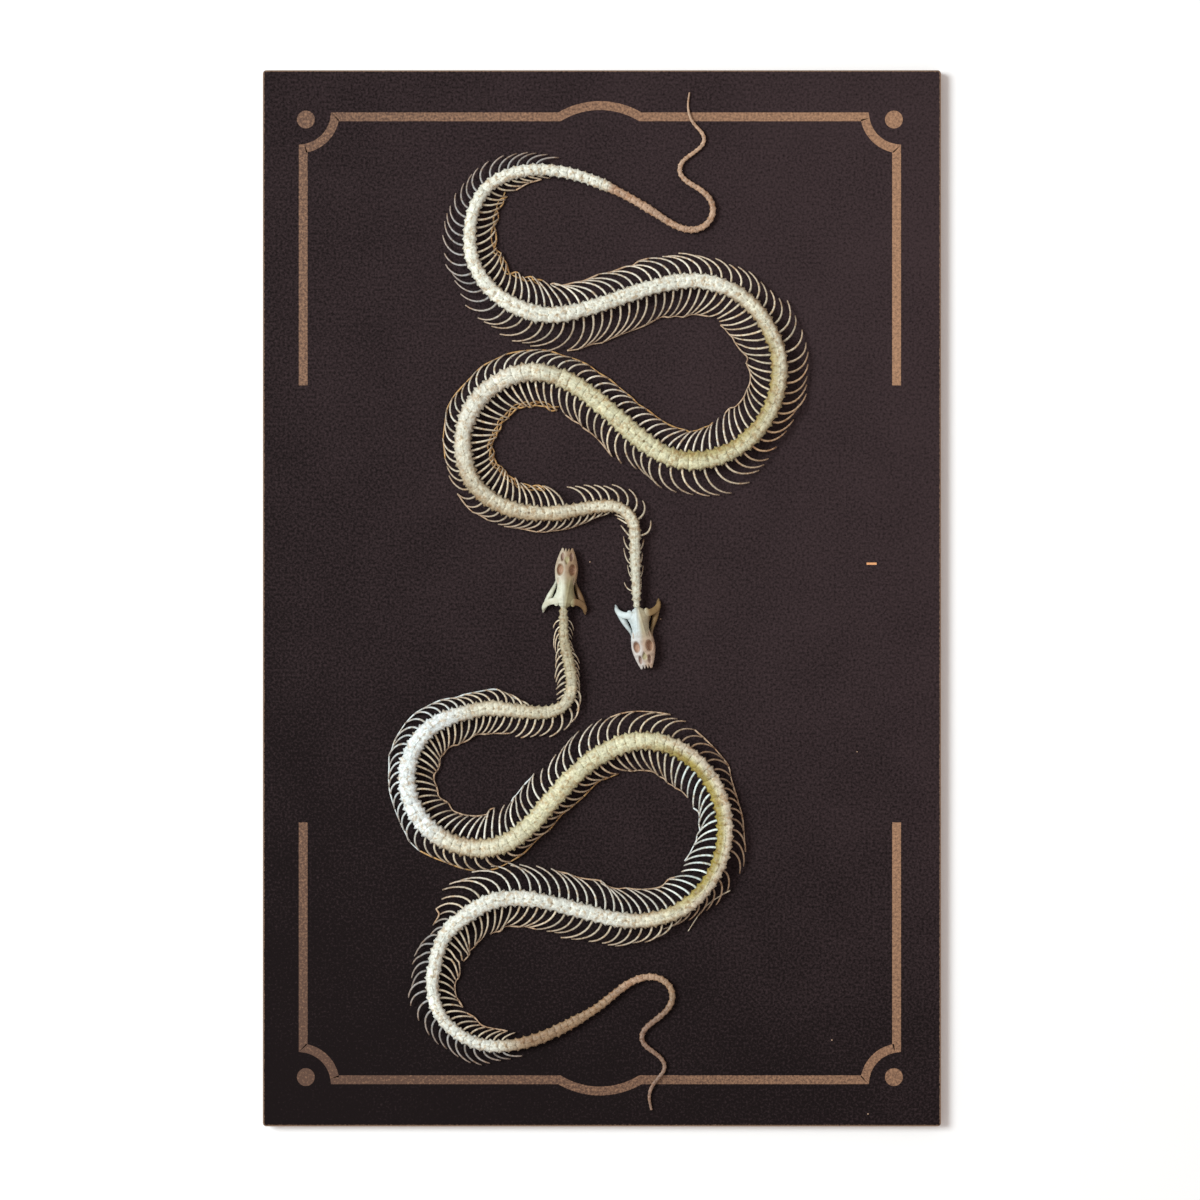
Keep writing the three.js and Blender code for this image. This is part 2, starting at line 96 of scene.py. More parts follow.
# Along, how far the spine stands off its route to the right.
UPPER_SWAY = np.array([
    [0, 0], [105, 0], [120, -0.8], [150, -0.8], [170, 0], [225, 0], [250, -0.4], [310, 1.1],
    [320, 1.6], [335, 1.6], [345, 1.2], [360, 0.6], [380, 1.0], [400, 1.0], [420, 0.6],
    [440, -0.3], [460, -0.7], [475, -1.2], [485, -1.2], [500, -0.6], [520, 0], [661, 0],
])
LOWER_SWAY = np.array([
    [0, -0.3], [12, 0], [24, 0.8], [36, 1.1], [46, 0.5], [60, 0], [70, 0], [85, 1.0],
    [110, 1.0], [120, 0.6], [180, 0], [194, 0.8], [203, 1.5], [215, 1.3], [225, 0.8],
    [238, 0], [345, 0], [360, -0.5], [420, -0.5], [440, 1.9], [455, 1.9],
    [460, 1.5], [470, 0.3], [480, 0], [500, 0.6], [540, 0.6], [570, 0], [661, 0],
])

# Along, half width over the joint processes, height of the underside, height of the crest.
SPINE_SIZES = np.array([
    [0, 1.3, 2.6, 5.2], [6, 1.9, 2.4, 5.9], [20, 2.3, 2.35, 6.1], [40, 2.5, 2.3, 6.3],
    [70, 3.1, 2.5, 7.2], [105, 3.5, 2.8, 8.4], [150, 3.8, 3.1, 9.3], [230, 4.0, 3.2, 9.6],
    [285, 3.5, 3.2, 9.5], [330, 3.2, 3.2, 9.4], [400, 3.2, 3.0, 9.1], [430, 3.5, 2.9, 8.9],
    [460, 2.9, 2.4, 8.1], [480, 2.6, 2.0, 7.5], [526, 2.55, 0.8, 5.4], [546, 2.4, 0.5, 4.5],
    [554, 1.8, 0.4, 4.0], [600, 1.25, 0.3, 2.9], [640, 0.8, 0.3, 1.9], [660, 0.35, 0.3, 1.0],
])
# Along, reach of the rib tips to the snake's right and left, and how far the tips trail behind
# their roots on the right and on the left.
UPPER_REACH = np.array([
    [0, 3.4, 2, 4, 3], [10, 4.4, 2.6, 5, 5], [24, 4.8, 3.6, 4.5, 4.5], [30, 5.2, 8, 6, 5.5],
    [38, 3.2, 8.8, 5, 4.5], [46, 4, 9.2, 5, 5], [54, 6, 9.6, 6, 6.5], [62, 7.2, 11, 6, 7],
    [84, 7.8, 11.8, 5.5, 6.5], [100, 8.2, 13.2, 5.5, 5.5], [114, 7.4, 12.4, 7, 5],
    [134, 9.4, 13.6, 7.5, 5], [160, 9.4, 14, 7, 5.5], [176, 9.8, 13.4, 7, 8],
    [184, 10, 12, 7, 9], [200, 10.8, 11.4, 7, 8.5], [214, 11.4, 12.8, 6.5, 8],
    [220, 11.6, 11, 7, 8], [234, 12, 13.4, 8, 8], [252, 13.4, 14.6, 8.5, 8],
    [264, 13.8, 11.8, 8.5, 7.5], [276, 13, 10.2, 8.5, 8], [290, 11.2, 11.4, 8, 8],
    [304, 12.4, 12.4, 8, 8], [316, 14.2, 13.2, 8, 8], [322, 14.4, 10.8, 8, 6.5],
    [340, 13, 10.4, 8.5, 7.5], [358, 13.8, 11.6, 9.5, 10], [372, 12.2, 12, 9.5, 11.5],
    [390, 14.4, 12.2, 10, 11.5], [404, 15, 12.6, 10, 11.5], [416, 14, 13.8, 9.5, 11],
    [434, 11.8, 13, 9.5, 9], [442, 11.4, 11.4, 9, 8], [450, 9.6, 12, 9, 8],
    [462, 11.4, 10.6, 8, 8], [476, 10.4, 9.8, 7, 7.5], [490, 8.9, 8.8, 6.5, 7.5],
    [500, 8.7, 6.8, 6.5, 7], [508, 7.2, 4.6, 8, 6.5], [521, 5.6, 2.6, 9, 6],
])
LOWER_REACH = np.array([
    [0, 2.8, 2.6, 4, 4], [10, 3.3, 4.6, 4, 6], [24, 3.3, 6.4, 4, 6], [33, 3.4, 6, 4, 6],
    [37, 8, 3.4, 5, 4], [46, 10.3, 2.4, 4.5, 3], [54, 10.4, 3, 5, 4], [60, 10.4, 6.8, 5, 6],
    [68, 10.6, 8, 6, 6], [78, 10.8, 7.2, 6, 6], [92, 11.2, 8.2, 6, 6], [108, 12.2, 8.4, 6, 5.5],
    [118, 10.8, 7.8, 5.5, 5.5], [130, 11.6, 8.2, 5.5, 5.5], [144, 11.8, 9.4, 5.5, 5.5],
    [156, 12.6, 8.8, 6, 5.5], [164, 13.2, 10, 7, 5.5], [172, 14.6, 8.4, 8, 5.5],
    [184, 12.4, 6.8, 9, 5], [198, 12, 7.4, 9, 5], [208, 11.2, 8.6, 8.5, 5],
    [224, 12.8, 9.4, 8, 5.5], [240, 12, 11.2, 8, 7], [252, 12.2, 13, 8, 8],
    [262, 10.2, 14, 6.5, 9], [276, 8.8, 12.2, 6, 9], [288, 6.9, 10.4, 6, 9],
    [298, 7.4, 10.4, 6, 8], [308, 9.8, 11.8, 7, 8], [318, 9.4, 13, 7, 8], [325, 8.4, 11.2, 7, 8],
    [334, 6.6, 12.2, 7, 8], [345, 5.2, 11.4, 7, 8.5], [354, 9.4, 13, 8, 9.5],
    [364, 11.4, 12.4, 9, 10.5], [380, 12.2, 12.6, 9, 11], [400, 12, 13, 9, 11],
    [414, 12.8, 14, 9, 10], [427, 12, 14.2, 9, 9], [433, 12, 11, 9, 7], [440, 12.2, 6.8, 9, 6],
    [447, 12.2, 5.4, 9, 6], [454, 11, 9, 9, 7], [464, 9.6, 8.4, 8, 6.5], [472, 8.9, 10, 7.5, 6.5],
    [486, 8.3, 8.8, 7, 6.5], [500, 7, 8.6, 7, 6.5], [509, 5.6, 6, 7, 6.5], [518, 4.2, 5, 6, 6.5],
])
# Along, length of one vertebra.
VERTEBRA_LENGTH = np.array([
    [0, 2.5], [9, 2.8], [60, 3.1], [100, 3.55], [140, 3.95], [340, 4], [400, 3.85],
    [520, 3.7], [545, 2.7], [600, 2.3], [640, 1.7], [660, 1.2],
])
RIB_ARC = math.radians(74)
FIRST_RIB = 5.0


def eased(table: np.ndarray, at: np.ndarray, column: int = 1) -> np.ndarray:
    """Reads a table of sizes at any places, eased between its rows.

    Between two rows the value is low + (high - low) * p * p * (3 - 2 * p), p being the share of the
    way from one row to the next.

    Args:
        table: Rows in order, with the place in column 0.
        at: Places to read at.
        column: The column to read.

    Returns:
        The values, with the shape of at.
    """
    row = np.clip(np.searchsorted(table[:, 0], at, side="right") - 1, 0, len(table) - 2)
    span = table[row + 1, 0] - table[row, 0]
    part = np.clip((at - table[row, 0]) / span, 0, 1)
    low = table[row, column]
    return low + (table[row + 1, column] - low) * part * part * (3 - 2 * part)


def smooth_step(low: float, high: float, value: np.ndarray) -> np.ndarray:
    """Rises smoothly from 0 where value is low to 1 where it is high."""
    part = np.clip((value - low) / (high - low), 0, 1)
    return part * part * (3 - 2 * part)


def linear(hex_code: str) -> np.ndarray:
    """Turns an sRGB hex colour, such as #e8e2c8, to three linear values."""
    channels = np.array([int(hex_code[i:i + 2], 16) for i in (1, 3, 5)]) / 255
    return np.where(channels <= 0.04045, channels / 12.92, ((channels + 0.055) / 1.055) ** 2.4)


def blended(base: np.ndarray, colour: np.ndarray, weight: np.ndarray) -> np.ndarray:
    """Mixes a colour into an array of colours by a weight for each."""
    return base + (colour - base) * weight[..., None]


# ---------------------------------------------------------------- meshes


class PieceMesh:
    """Closed tubes and their colours, gathered as arrays and made into one object."""

    def __init__(self) -> None:
        """Starts with no points."""
        self.points: list[np.ndarray] = []
        self.tints: list[np.ndarray] = []
        self.faces: list[np.ndarray] = []
        self.smooth: list[np.ndarray] = []
        self.count = 0

    def add_tubes(self, grid: np.ndarray, tint: np.ndarray, flat_ends: bool = False) -> None:
        """Adds closed tubes, each a row of rings of corners, with a cap on each end.

        Corner k of ring j is joined to corner k + 1 and to the same corners of ring j + 1. A cap is
        a ladder of four-sided faces across the ring, or one face where the corners are odd. A tube
        whose volume comes out negative, as the sum of the tetrahedra from its middle to each
        face, has its corners taken the other way round, so all faces point outwards.

        Args:
            grid: Points in millimetres, as tube, ring, corner and axis.
            tint: Linear colours, of the grid's shape or one that spreads to it.
            flat_ends: Whether the caps are shaded flat, so that they don't darken the last rings.
        """
        tubes, rings, corners, _ = grid.shape
        index = np.arange(tubes * rings * corners).reshape(tubes, rings, corners)
        walls = self._walls(index)
        flat = grid.reshape(-1, 3)
        middle = grid.mean(axis=(1, 2))[:, None, None, None, :]
        at = flat[walls] - middle
        half = np.einsum("...i,...i", at[..., 0, :], np.cross(at[..., 1, :], at[..., 2, :]))
        other = np.einsum("...i,...i", at[..., 0, :], np.cross(at[..., 2, :], at[..., 3, :]))
        inside_out = (half + other).sum(axis=(1, 2)) < 0
        index[inside_out] = index[inside_out][:, :, ::-1]
        index += self.count
        self.faces.append(self._walls(index).reshape(-1, 4))
        for cap in (index[:, 0, ::-1], index[:, -1, :]):
            if corners % 2:
                self.faces.append(cap)
            else:
                k = np.arange(corners // 2 - 1)
                ladder = np.stack([k, k + 1, corners - 2 - k, corners - 1 - k], axis=-1)
                self.faces.append(cap[:, ladder].reshape(-1, 4))
        self.smooth.append(np.ones(len(self.faces[-3]), dtype=bool))
        self.smooth += [np.full(len(caps), not flat_ends) for caps in self.faces[-2:]]
        self.points.append(flat)
        self.tints.append(np.broadcast_to(tint, grid.shape).reshape(-1, 3))
        self.count += len(flat)

    @staticmethod
    def _walls(index: np.ndarray) -> np.ndarray:
        """Gives the four corners of each wall face.

        Args:
            index: Point numbers, as tube, ring and corner.

        Returns:
            Point numbers, as tube, ring, face and corner of the face.
        """
        beside = np.roll(index, -1, axis=2)
        corners = [index[:, :-1], beside[:, :-1], beside[:, 1:], index[:, 1:]]
        return np.stack(corners, axis=-1)

    def make(self, name: str, material: bpy.types.Material, slot: str | None) -> bpy.types.Object:
        """Makes the object, with its place in its mesh.

        Args:
            name: Name of the piece.
            material: Its one material.
            slot: Not used.

        Returns:
            The new object, riding on the model's one body.
        """
        mesh = bpy.data.meshes.new(name)
        points = np.concatenate(self.points) * MM
        tints = np.concatenate(self.tints)
        sizes = np.concatenate([np.full(len(block), block.shape[1]) for block in self.faces])
        loops = np.concatenate([block.ravel() for block in self.faces])
        mesh.vertices.add(len(points))
        mesh.vertices.foreach_set("co", points.ravel())
        mesh.loops.add(len(loops))
        mesh.loops.foreach_set("vertex_index", loops)
        mesh.polygons.add(len(sizes))
        mesh.polygons.foreach_set("loop_start", np.cumsum(sizes) - sizes)
        mesh.polygons.foreach_set("use_smooth", np.concatenate(self.smooth))
        colours = mesh.attributes.new("tint", "FLOAT_COLOR", "POINT")
        opaque = np.column_stack([tints, np.ones(len(tints))])
        colours.data.foreach_set("color", opaque.ravel())
        mesh.update(calc_edges=True)
        mesh.materials.append(material)
        piece = bpy.data.objects.new(name, mesh)
        bpy.context.scene.collection.objects.link(piece)
        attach(piece, "root")
        LOG.info("%s: %d points, %d faces", name, len(points), len(sizes))
        return piece


def section_tubes(
    line: np.ndarray, half_width: np.ndarray, half_height: np.ndarray, corners: int, fullness: float
) -> np.ndarray:
    """Carries an oval section along lines.

    The section stands square to the line's direction. Its corners are at
    half_width * sgn(cos a) * |cos a| ** fullness across, level with the board, and
    half_height * sgn(sin a) * |sin a| ** fullness up, so a fullness under 1 is squarer.

    Args:
        line: Middle points, as tube, ring and axis.
        half_width: Half width at each ring.
        half_height: Half height at each ring.
        corners: Corners of the section.
        fullness: The power in the formula.

    Returns:
        Points as tube, ring, corner and axis.
    """
    run = np.gradient(line, axis=1)
    run /= np.linalg.norm(run, axis=-1, keepdims=True)
    across = np.cross(UP, run)
    across /= np.maximum(np.linalg.norm(across, axis=-1, keepdims=True), TINY)
    upward = np.cross(run, across)
    angle = (np.arange(corners) + 0.5) / corners * 2 * np.pi
    wide = np.sign(np.cos(angle)) * np.abs(np.cos(angle)) ** fullness
    tall = np.sign(np.sin(angle)) * np.abs(np.sin(angle)) ** fullness
    out = (half_width[..., None] * wide)[..., None] * across[:, :, None, :]
    return line[:, :, None, :] + out + (half_height[..., None] * tall)[..., None] * upward[:, :, None, :]


# ---------------------------------------------------------------- materials


def add_node(
    tree: bpy.types.NodeTree, kind: str, inputs: dict[Any, Any] | None = None, **settings: Any
) -> bpy.types.Node:
    """Adds a node with its settings, values and links.

    Args:
        tree: The material's nodes.
        kind: The node's type.
        inputs: Socket name or number to a value, or to the output that feeds it.
        settings: The node's own properties.

    Returns:
        The new node.
    """
    node = tree.nodes.new(kind)
    for name, value in settings.items():
        setattr(node, name, value)
    feed(tree, node, inputs or {})
    return node


def feed(tree: bpy.types.NodeTree, node: bpy.types.Node, inputs: dict[Any, Any]) -> None:
    """Sets a node's inputs.

    Args:
        tree: The material's nodes.
        node: The node.
        inputs: Socket name or number to a value, or to the output that feeds it.
    """
    for socket, value in inputs.items():
        if isinstance(value, bpy.types.NodeSocket):
            tree.links.new(value, node.inputs[socket])
        else:
            node.inputs[socket].default_value = value


def maths(
    tree: bpy.types.NodeTree, operation: str, *values: Any, clamp: bool = False
) -> bpy.types.NodeSocket:
    """Adds one step of arithmetic.

    Args:
        tree: The material's nodes.
        operation: What is done with the values.
        values: Numbers, or the outputs that feed them.
        clamp: Whether the result is kept between 0 and 1.

    Returns:
        The result.
    """
    inputs = dict(enumerate(values))
    node = add_node(tree, "ShaderNodeMath", inputs, operation=operation, use_clamp=clamp)
    return node.outputs[0]


def noise(
    tree: bpy.types.NodeTree, place: bpy.types.NodeSocket, scale: float, detail: float,
    roughness: float = 0.5,
) -> bpy.types.NodeSocket:
    """Adds a soft noise.

    Args:
        tree: The material's nodes.
        place: Where it is read.
        scale: Its waves to a metre.
        detail: How many finer layers lie over it.
        roughness: How strong the finer layers are.

    Returns:
        Its value, mostly between 0.3 and 0.7.
    """
    return add_node(tree, "ShaderNodeTexNoise", {
        "Vector": place, "Scale": scale, "Detail": detail, "Roughness": roughness,
    }).outputs["Fac"]


def ranged(
    tree: bpy.types.NodeTree, value: bpy.types.NodeSocket, band: tuple[float, float],
    results: tuple[float, float] = (0.0, 1.0),
) -> bpy.types.NodeSocket:
    """Spreads a band of a value over other numbers, and stops at their ends.

    Args:
        tree: The material's nodes.
        value: The value.
        band: The two values that give the two results.
        results: The two results.

    Returns:
        The result.
    """
    return add_node(tree, "ShaderNodeMapRange", {
        "Value": value, "From Min": band[0], "From Max": band[1],
        "To Min": results[0], "To Max": results[1],
    }).outputs["Result"]


def mixed(
    tree: bpy.types.NodeTree, share: Any, first: Any, second: Any, blend: str = "MIX"
) -> bpy.types.NodeSocket:
    """Mixes two colours.

    Args:
        tree: The material's nodes.
        share: How much of the second colour there is.
        first: Four linear values, or the output that feeds them.
        second: As first.
        blend: How the two are mixed.

    Returns:
        The mixed colour.
    """
    return add_node(
        tree, "ShaderNodeMix", {0: share, 6: first, 7: second}, data_type="RGBA", blend_type=blend,
    ).outputs[2]


def bumped(
    tree: bpy.types.NodeTree, height: bpy.types.NodeSocket, strength: float, depth_mm: float,
    **under: bpy.types.NodeSocket,
) -> bpy.types.NodeSocket:
    """Makes a surface look uneven.

    Args:
        tree: The material's nodes.
        height: The value that is high where the surface is.
        strength: Share of the effect.
        depth_mm: Depth of the relief.
        under: As Normal, a relief that lies under this one.

    Returns:
        The surface's direction.
    """
    return add_node(tree, "ShaderNodeBump", {
        "Strength": strength, "Distance": depth_mm * MM, "Height": height, **under,
    }).outputs["Normal"]


def new_material(name: str) -> tuple[bpy.types.Material, bpy.types.NodeTree, bpy.types.Node]:
    """Makes a material of nodes.

    Args:
        name: Its name.

    Returns:
        The material, its nodes and its Principled shader.
    """
    material = bpy.data.materials.new(name)
    material.use_nodes = True
    return material, material.node_tree, material.node_tree.nodes["Principled BSDF"]


def object_place(tree: bpy.types.NodeTree) -> bpy.types.NodeSocket:
    """Gives the place on the piece, in metres."""
    return add_node(tree, "ShaderNodeTexCoord").outputs["Object"]


def rgba(hex_code: str) -> tuple[float, ...]:
    """Gives a hex colour as the four linear values that a colour socket takes."""
    return (*linear(hex_code), 1.0)


@dataclass(frozen=True)
class BoneFinish:
    """Dry cleaned bone: a satin surface, mottled, with lumps, fine pits and patches of old fat.

    A band is the part of a noise's values that is spread from one end of its effect to the other.
    """

    name: str
    mottle_mm: float
    lump_height_mm: float
    patch_share: float
    shades: tuple[float, float]
    mottle_band: tuple[float, float] = (0.34, 0.66)
    patch: str = "#c39a63"
    patch_band: tuple[float, float] = (0.5, 0.64)
    patch_spacing: float = 0.55
    lump_strength: float = 0.8
    pit_mm: float = 0.4
    pit_depth_mm: float = 0.05
    pit_strength: float = 0.35
    roughness: tuple[float, float] = (0.42, 0.62)
    roughness_band: tuple[float, float] = (0.3, 0.7)
    refraction: float = 1.54

    def material(self) -> bpy.types.Material:
        """Builds the material: the tint attribute, mottled and stained, over lumps and pits.

        Returns:
            The material.
        """
        material, tree, shader = new_material(self.name)
        place = object_place(tree)
        tint = add_node(tree, "ShaderNodeAttribute", attribute_name="tint").outputs["Color"]
        mottle = noise(tree, place, 1 / (self.mottle_mm * MM), 3.0)
        value = ranged(tree, mottle, self.mottle_band, self.shades)
        shaded = mixed(tree, 1.0, tint, value, "MULTIPLY")
        fat = noise(tree, place, self.patch_spacing / (self.mottle_mm * MM), 3.0, 0.6)
        share = ranged(tree, fat, self.patch_band, (0.0, self.patch_share))
        pits = noise(tree, place, 1 / (self.pit_mm * MM), 2.0)
        lumps = bumped(tree, mottle, self.lump_strength, self.lump_height_mm)
        feed(tree, shader, {
            "Base Color": mixed(tree, share, shaded, rgba(self.patch), "MULTIPLY"),
            "Roughness": ranged(tree, mottle, self.roughness_band, self.roughness),
            "Normal": bumped(tree, pits, self.pit_strength, self.pit_depth_mm, Normal=lumps),
            "IOR": self.refraction,
        })
        return material


@dataclass(frozen=True)
class PaintedLightFalloff:
    """Painted light: a print painted paler towards the board's upper right corner and darker at its
    short edges.

    The share is most * (x + upward * y) / reach, kept between -most and most, less ends times the
    square of y / end_reach. The reaches are in metres.
    """

    upward: float
    most: float
    ends: float
    reach: float = 0.3
    end_reach: float = 0.2

    def share(self, tree: bpy.types.NodeTree, axes: bpy.types.Node) -> bpy.types.NodeSocket:
        """Works out the share.

        Args:
            tree: The material's nodes.
            axes: The node that gives the place on the board as x, y and z.

        Returns:
            The share, to be added to a mix of two inks.
        """
        y = axes.outputs["Y"]
        lean = maths(tree, "MULTIPLY_ADD", y, self.upward, axes.outputs["X"])
        paler = ranged(tree, lean, (-self.reach, self.reach), (-self.most, self.most))
        squared = maths(tree, "MULTIPLY", y, y)
        return maths(tree, "MULTIPLY_ADD", squared, -self.ends / self.end_reach ** 2, paler)


@dataclass(frozen=True)
class PrintedCard:
    """Foam-cored card with a matt dark print on its face and raw card at its cut edges."""

    dark: str = "#140c0d"
    light: str = "#3b2e30"
    paleness: float = 0.27
    # Painted light: the print is painted paler towards the upper right and darker at the top and bottom,
    # where the light on the board falls off.
    painted_light_falloff: PaintedLightFalloff = PaintedLightFalloff(0.9, 0.5, 0.22)
    edge: str = "#8d7867"
    worn: str = "#7a6250"
    worn_mm: float = 0.55
    print_depth_mm: float = 0.4
    grain_mm: float = 1.0
    grain_weight: float = 3.4
    cloud_mm: float = 26.0
    cloud_weight: float = 0.4
    relief_strength: float = 0.25
    relief_mm: float = 0.04
    roughness: float = 0.82
    gloss: float = 0.12

    def material(self) -> bpy.types.Material:
        """Builds the material: print with a fine grain and soft clouding, and a paler edge.

        The share of the light ink is paleness, plus the painted light falloff, the clouds by their
        weight and the grain's distance from 0.5 by its own. Near the board's rim the print is rubbed off
        in a ragged line.

        Returns:
            The material.
        """
        material, tree, shader = new_material("matt_printed_card")
        place = object_place(tree)
        axes = add_node(tree, "ShaderNodeSeparateXYZ", {"Vector": place})
        clouds = noise(tree, place, 1 / (self.cloud_mm * MM), 2.0)
        grain = noise(tree, place, 1 / (self.grain_mm * MM), 4.0, 0.7)
        # The painted light falloff is added to the ink's share here.
        even = maths(tree, "MULTIPLY_ADD", clouds, self.cloud_weight, self.painted_light_falloff.share(tree, axes))
        soft = maths(tree, "ADD", even, self.paleness)
        coarse = maths(tree, "MULTIPLY_ADD", grain, self.grain_weight, -self.grain_weight / 2)
        share = maths(tree, "ADD", soft, coarse, clamp=True)
        ink = mixed(tree, share, rgba(self.dark), rgba(self.light))
        _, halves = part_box("board")
        inward = maths(tree, "MINIMUM", *(
            maths(tree, "SUBTRACT", half, maths(tree, "ABSOLUTE", axes.outputs[axis]))
            for half, axis in zip(halves, "XY")
        ))
        ragged = maths(tree, "MULTIPLY", grain, 2 * self.worn_mm * MM)
        rubbed = maths(tree, "LESS_THAN", inward, ragged)
        rimmed = mixed(tree, rubbed, ink, rgba(self.worn))
        printed_from = (BOARD_FACE - self.print_depth_mm) * MM
        on_face = maths(tree, "GREATER_THAN", axes.outputs["Z"], printed_from)
        feed(tree, shader, {
            "Base Color": mixed(tree, on_face, rgba(self.edge), rimmed),
            "Normal": bumped(tree, grain, self.relief_strength, self.relief_mm),
            "Roughness": self.roughness,
            "Specular IOR Level": self.gloss,
        })
        return material


@dataclass(frozen=True)
class CopperInk:
    """Matt copper-coloured printing ink, speckled where the card's grain shows through."""

    name: str = "copper_printing_ink"
    worn: str = "#54392a"
    full: str = "#b18767"
    # Painted light: the border is painted paler towards the upper right and darker at the top and
    # bottom.
    painted_light_falloff: PaintedLightFalloff = PaintedLightFalloff(0.28, 0.6, 0.22)
    speckle_mm: float = 1.0
    speckle_band: tuple[float, float] = (0.3, 0.7)
    roughness: float = 0.6
    metallic: float = 0.15

    def material(self) -> bpy.types.Material:
        """Builds the material: two copper browns in a fine speckle with painted light across the board,
        slightly metallic.

        Returns:
            The material.
        """
        material, tree, shader = new_material(self.name)
        place = object_place(tree)
        axes = add_node(tree, "ShaderNodeSeparateXYZ", {"Vector": place})
        speckle = noise(tree, place, 1 / (self.speckle_mm * MM), 4.0, 0.7)
        coverage = ranged(tree, speckle, self.speckle_band)
        # The painted light falloff is added to the speckle's coverage here.
        share = maths(tree, "ADD", coverage, self.painted_light_falloff.share(tree, axes), clamp=True)
        feed(tree, shader, {
            "Base Color": mixed(tree, share, rgba(self.worn), rgba(self.full)),
            "Roughness": self.roughness,
            "Metallic": self.metallic,
        })
        return material


@dataclass(frozen=True)
class PaleFloor:
    """A plain white sweep of paper under the board."""

    colour: str = "#fbfbfb"
    roughness: float = 0.9
    gloss: float = 0.1

    def material(self) -> bpy.types.Material:
        """Builds the floor's plain matt material.

        Returns:
            The material.
        """
        material, tree, shader = new_material("white_paper")
        feed(tree, shader, {
            "Base Color": rgba(self.colour),
            "Roughness": self.roughness,
            "Specular IOR Level": self.gloss,
        })
        return material


# ---------------------------------------------------------------- colours along the snakes


@dataclass(frozen=True)
class Stain:
    """A stretch of a spine whose bone has another colour."""

    start: float
    end: float
    colour: str
    strength: float
    side: Side | None = None
    softness: float = 9.0
    side_rise: tuple[float, float] = (-0.2, 0.45)

    def apply(self, base: np.ndarray, along: np.ndarray, side: np.ndarray) -> np.ndarray:
        """Mixes the stain in.

        The weight is strength times a smooth rise at the start, a smooth fall at the end and, on a
        stain of one side, a smooth rise by side_rise, from the middle of the spine to that side.

        Args:
            base: Linear colours.
            along: Distance along the spine of each point.
            side: Side of each point, in half widths of the spine.

        Returns:
            The stained colours.
        """
        soft = self.softness
        weight = self.strength * smooth_step(self.start - soft, self.start + soft, along)
        weight = weight * (1 - smooth_step(self.end - soft, self.end + soft, along))
        if self.side:
            weight = weight * smooth_step(*self.side_rise, side * self.side.value)
        return blended(base, linear(self.colour), weight)


GRISTLE = "#c4a98c"
GOLDEN_GRISTLE = "#c49c64"
PALE_GRISTLE = "#dfe6e4"
SLATE = "#8f9194"
DULL_TAN = "#94826e"
IVORY = "#dcd9c3"
BLEACHED = "#dfe1d8"
CREAM_YELLOW = "#d0cfa4"
OLIVE = "#9c8c46"
TAIL_TAN = "#b3947a"
TAIL_OLIVE = "#967c5f"
RIB_CREAM = "#cfc4ac"
RIB_TAN = "#b0937a"
ORANGE_TAN = "#a67a4d"
FLANK_BROWN = "#94774a"
NECK_GREY = "#c3c6b6"
DUN = "#c4bfa8"
CHALK = "#e3e6da"
PALE_CREAM = "#efe9da"
WARM_CREAM = "#e6dcc4"
NECK_OLIVE = "#a59c7c"
STONE = "#bdb79b"
ASH_CREAM = "#cbc8b4"
COOL_WHITE = "#e3ecec"
DEEP_OLIVE = "#9d8d42"
PINK_CREAM = "#dccbbf"
COOL_CHALK = "#e2e7df"
TAIL_BROWN = "#85695a"
RIB_CHALK = "#e6e8de"
RIB_BROWN = "#87684c"
RIB_BLUE_WHITE = "#ccd8dc"
RIB_COOL_WHITE = "#dcecea"
RIB_SILVER = "#d3d8d2"


# ---------------------------------------------------------------- spine and ribs


@dataclass(frozen=True)
class VertebraRing:
    """One ring of a vertebra, from its head end to its tail end.

    Sizes are shares: back of the vertebra's length, arch and wing of the half width, and lift of
    the height of each corner.
    """

    back: float
    arch: float
    wing: float
    lift: float


# The joint processes that stand out like teeth are at the second ring, the waist at the third, and
# the hind joint faces, which roof over the next vertebra, at the fifth.
VERTEBRA_RINGS = (
    VertebraRing(-0.62, 0.68, 0.12, -0.08),
    VertebraRing(-0.40, 0.80, 0.36, -0.02),
    VertebraRing(-0.14, 0.80, 0.14, 0.0),
    VertebraRing(0.14, 0.80, 0.06, 0.01),
    VertebraRing(0.38, 0.90, 0.06, 0.01),
    VertebraRing(0.52, 0.88, 0.0, -0.01),
    VertebraRing(0.64, 0.74, 0.0, -0.08),
)


@dataclass(frozen=True)
class VertebraCorner:
    """One corner of a vertebra's section, on one side: out, in wing, up, and swept back."""

    out: float
    wing: float
    up: float
    sweep: float


KEEL = VertebraCorner(0.0, 0.0, 0.0, 0.0)
FLANK_CORNERS = (
    VertebraCorner(0.5, 0.0, 0.06, 0.0),
    VertebraCorner(1.0, 1.0, 0.60, 0.02),
    VertebraCorner(0.90, 0.35, 0.77, 0.07),
    VertebraCorner(0.45, 0.0, 0.86, 0.02),
)
RIDGE = VertebraCorner(0.0, 0.0, 0.89, -0.14)

# Rings of the blade along a vertebra's top, from its head end: back in lengths of the vertebra, a
# factor on its thickness, and its edge as a share of the height.
CREST_RINGS = np.array([[-0.42, 0.6, 0.86], [-0.2, 1.0, 0.905], [0.25, 1.0, 0.915], [0.44, 0.8, 0.88]])
# Corners of its section: side in half widths, and share of the way from its foot to its edge.
CREST_SECTION = np.array([
    [0.3, 0.0], [0.15, 0.62], [0.06, 1.0], [-0.06, 1.0], [-0.15, 0.62], [-0.3, 0.0],
])
CREST_FOOT = 0.8


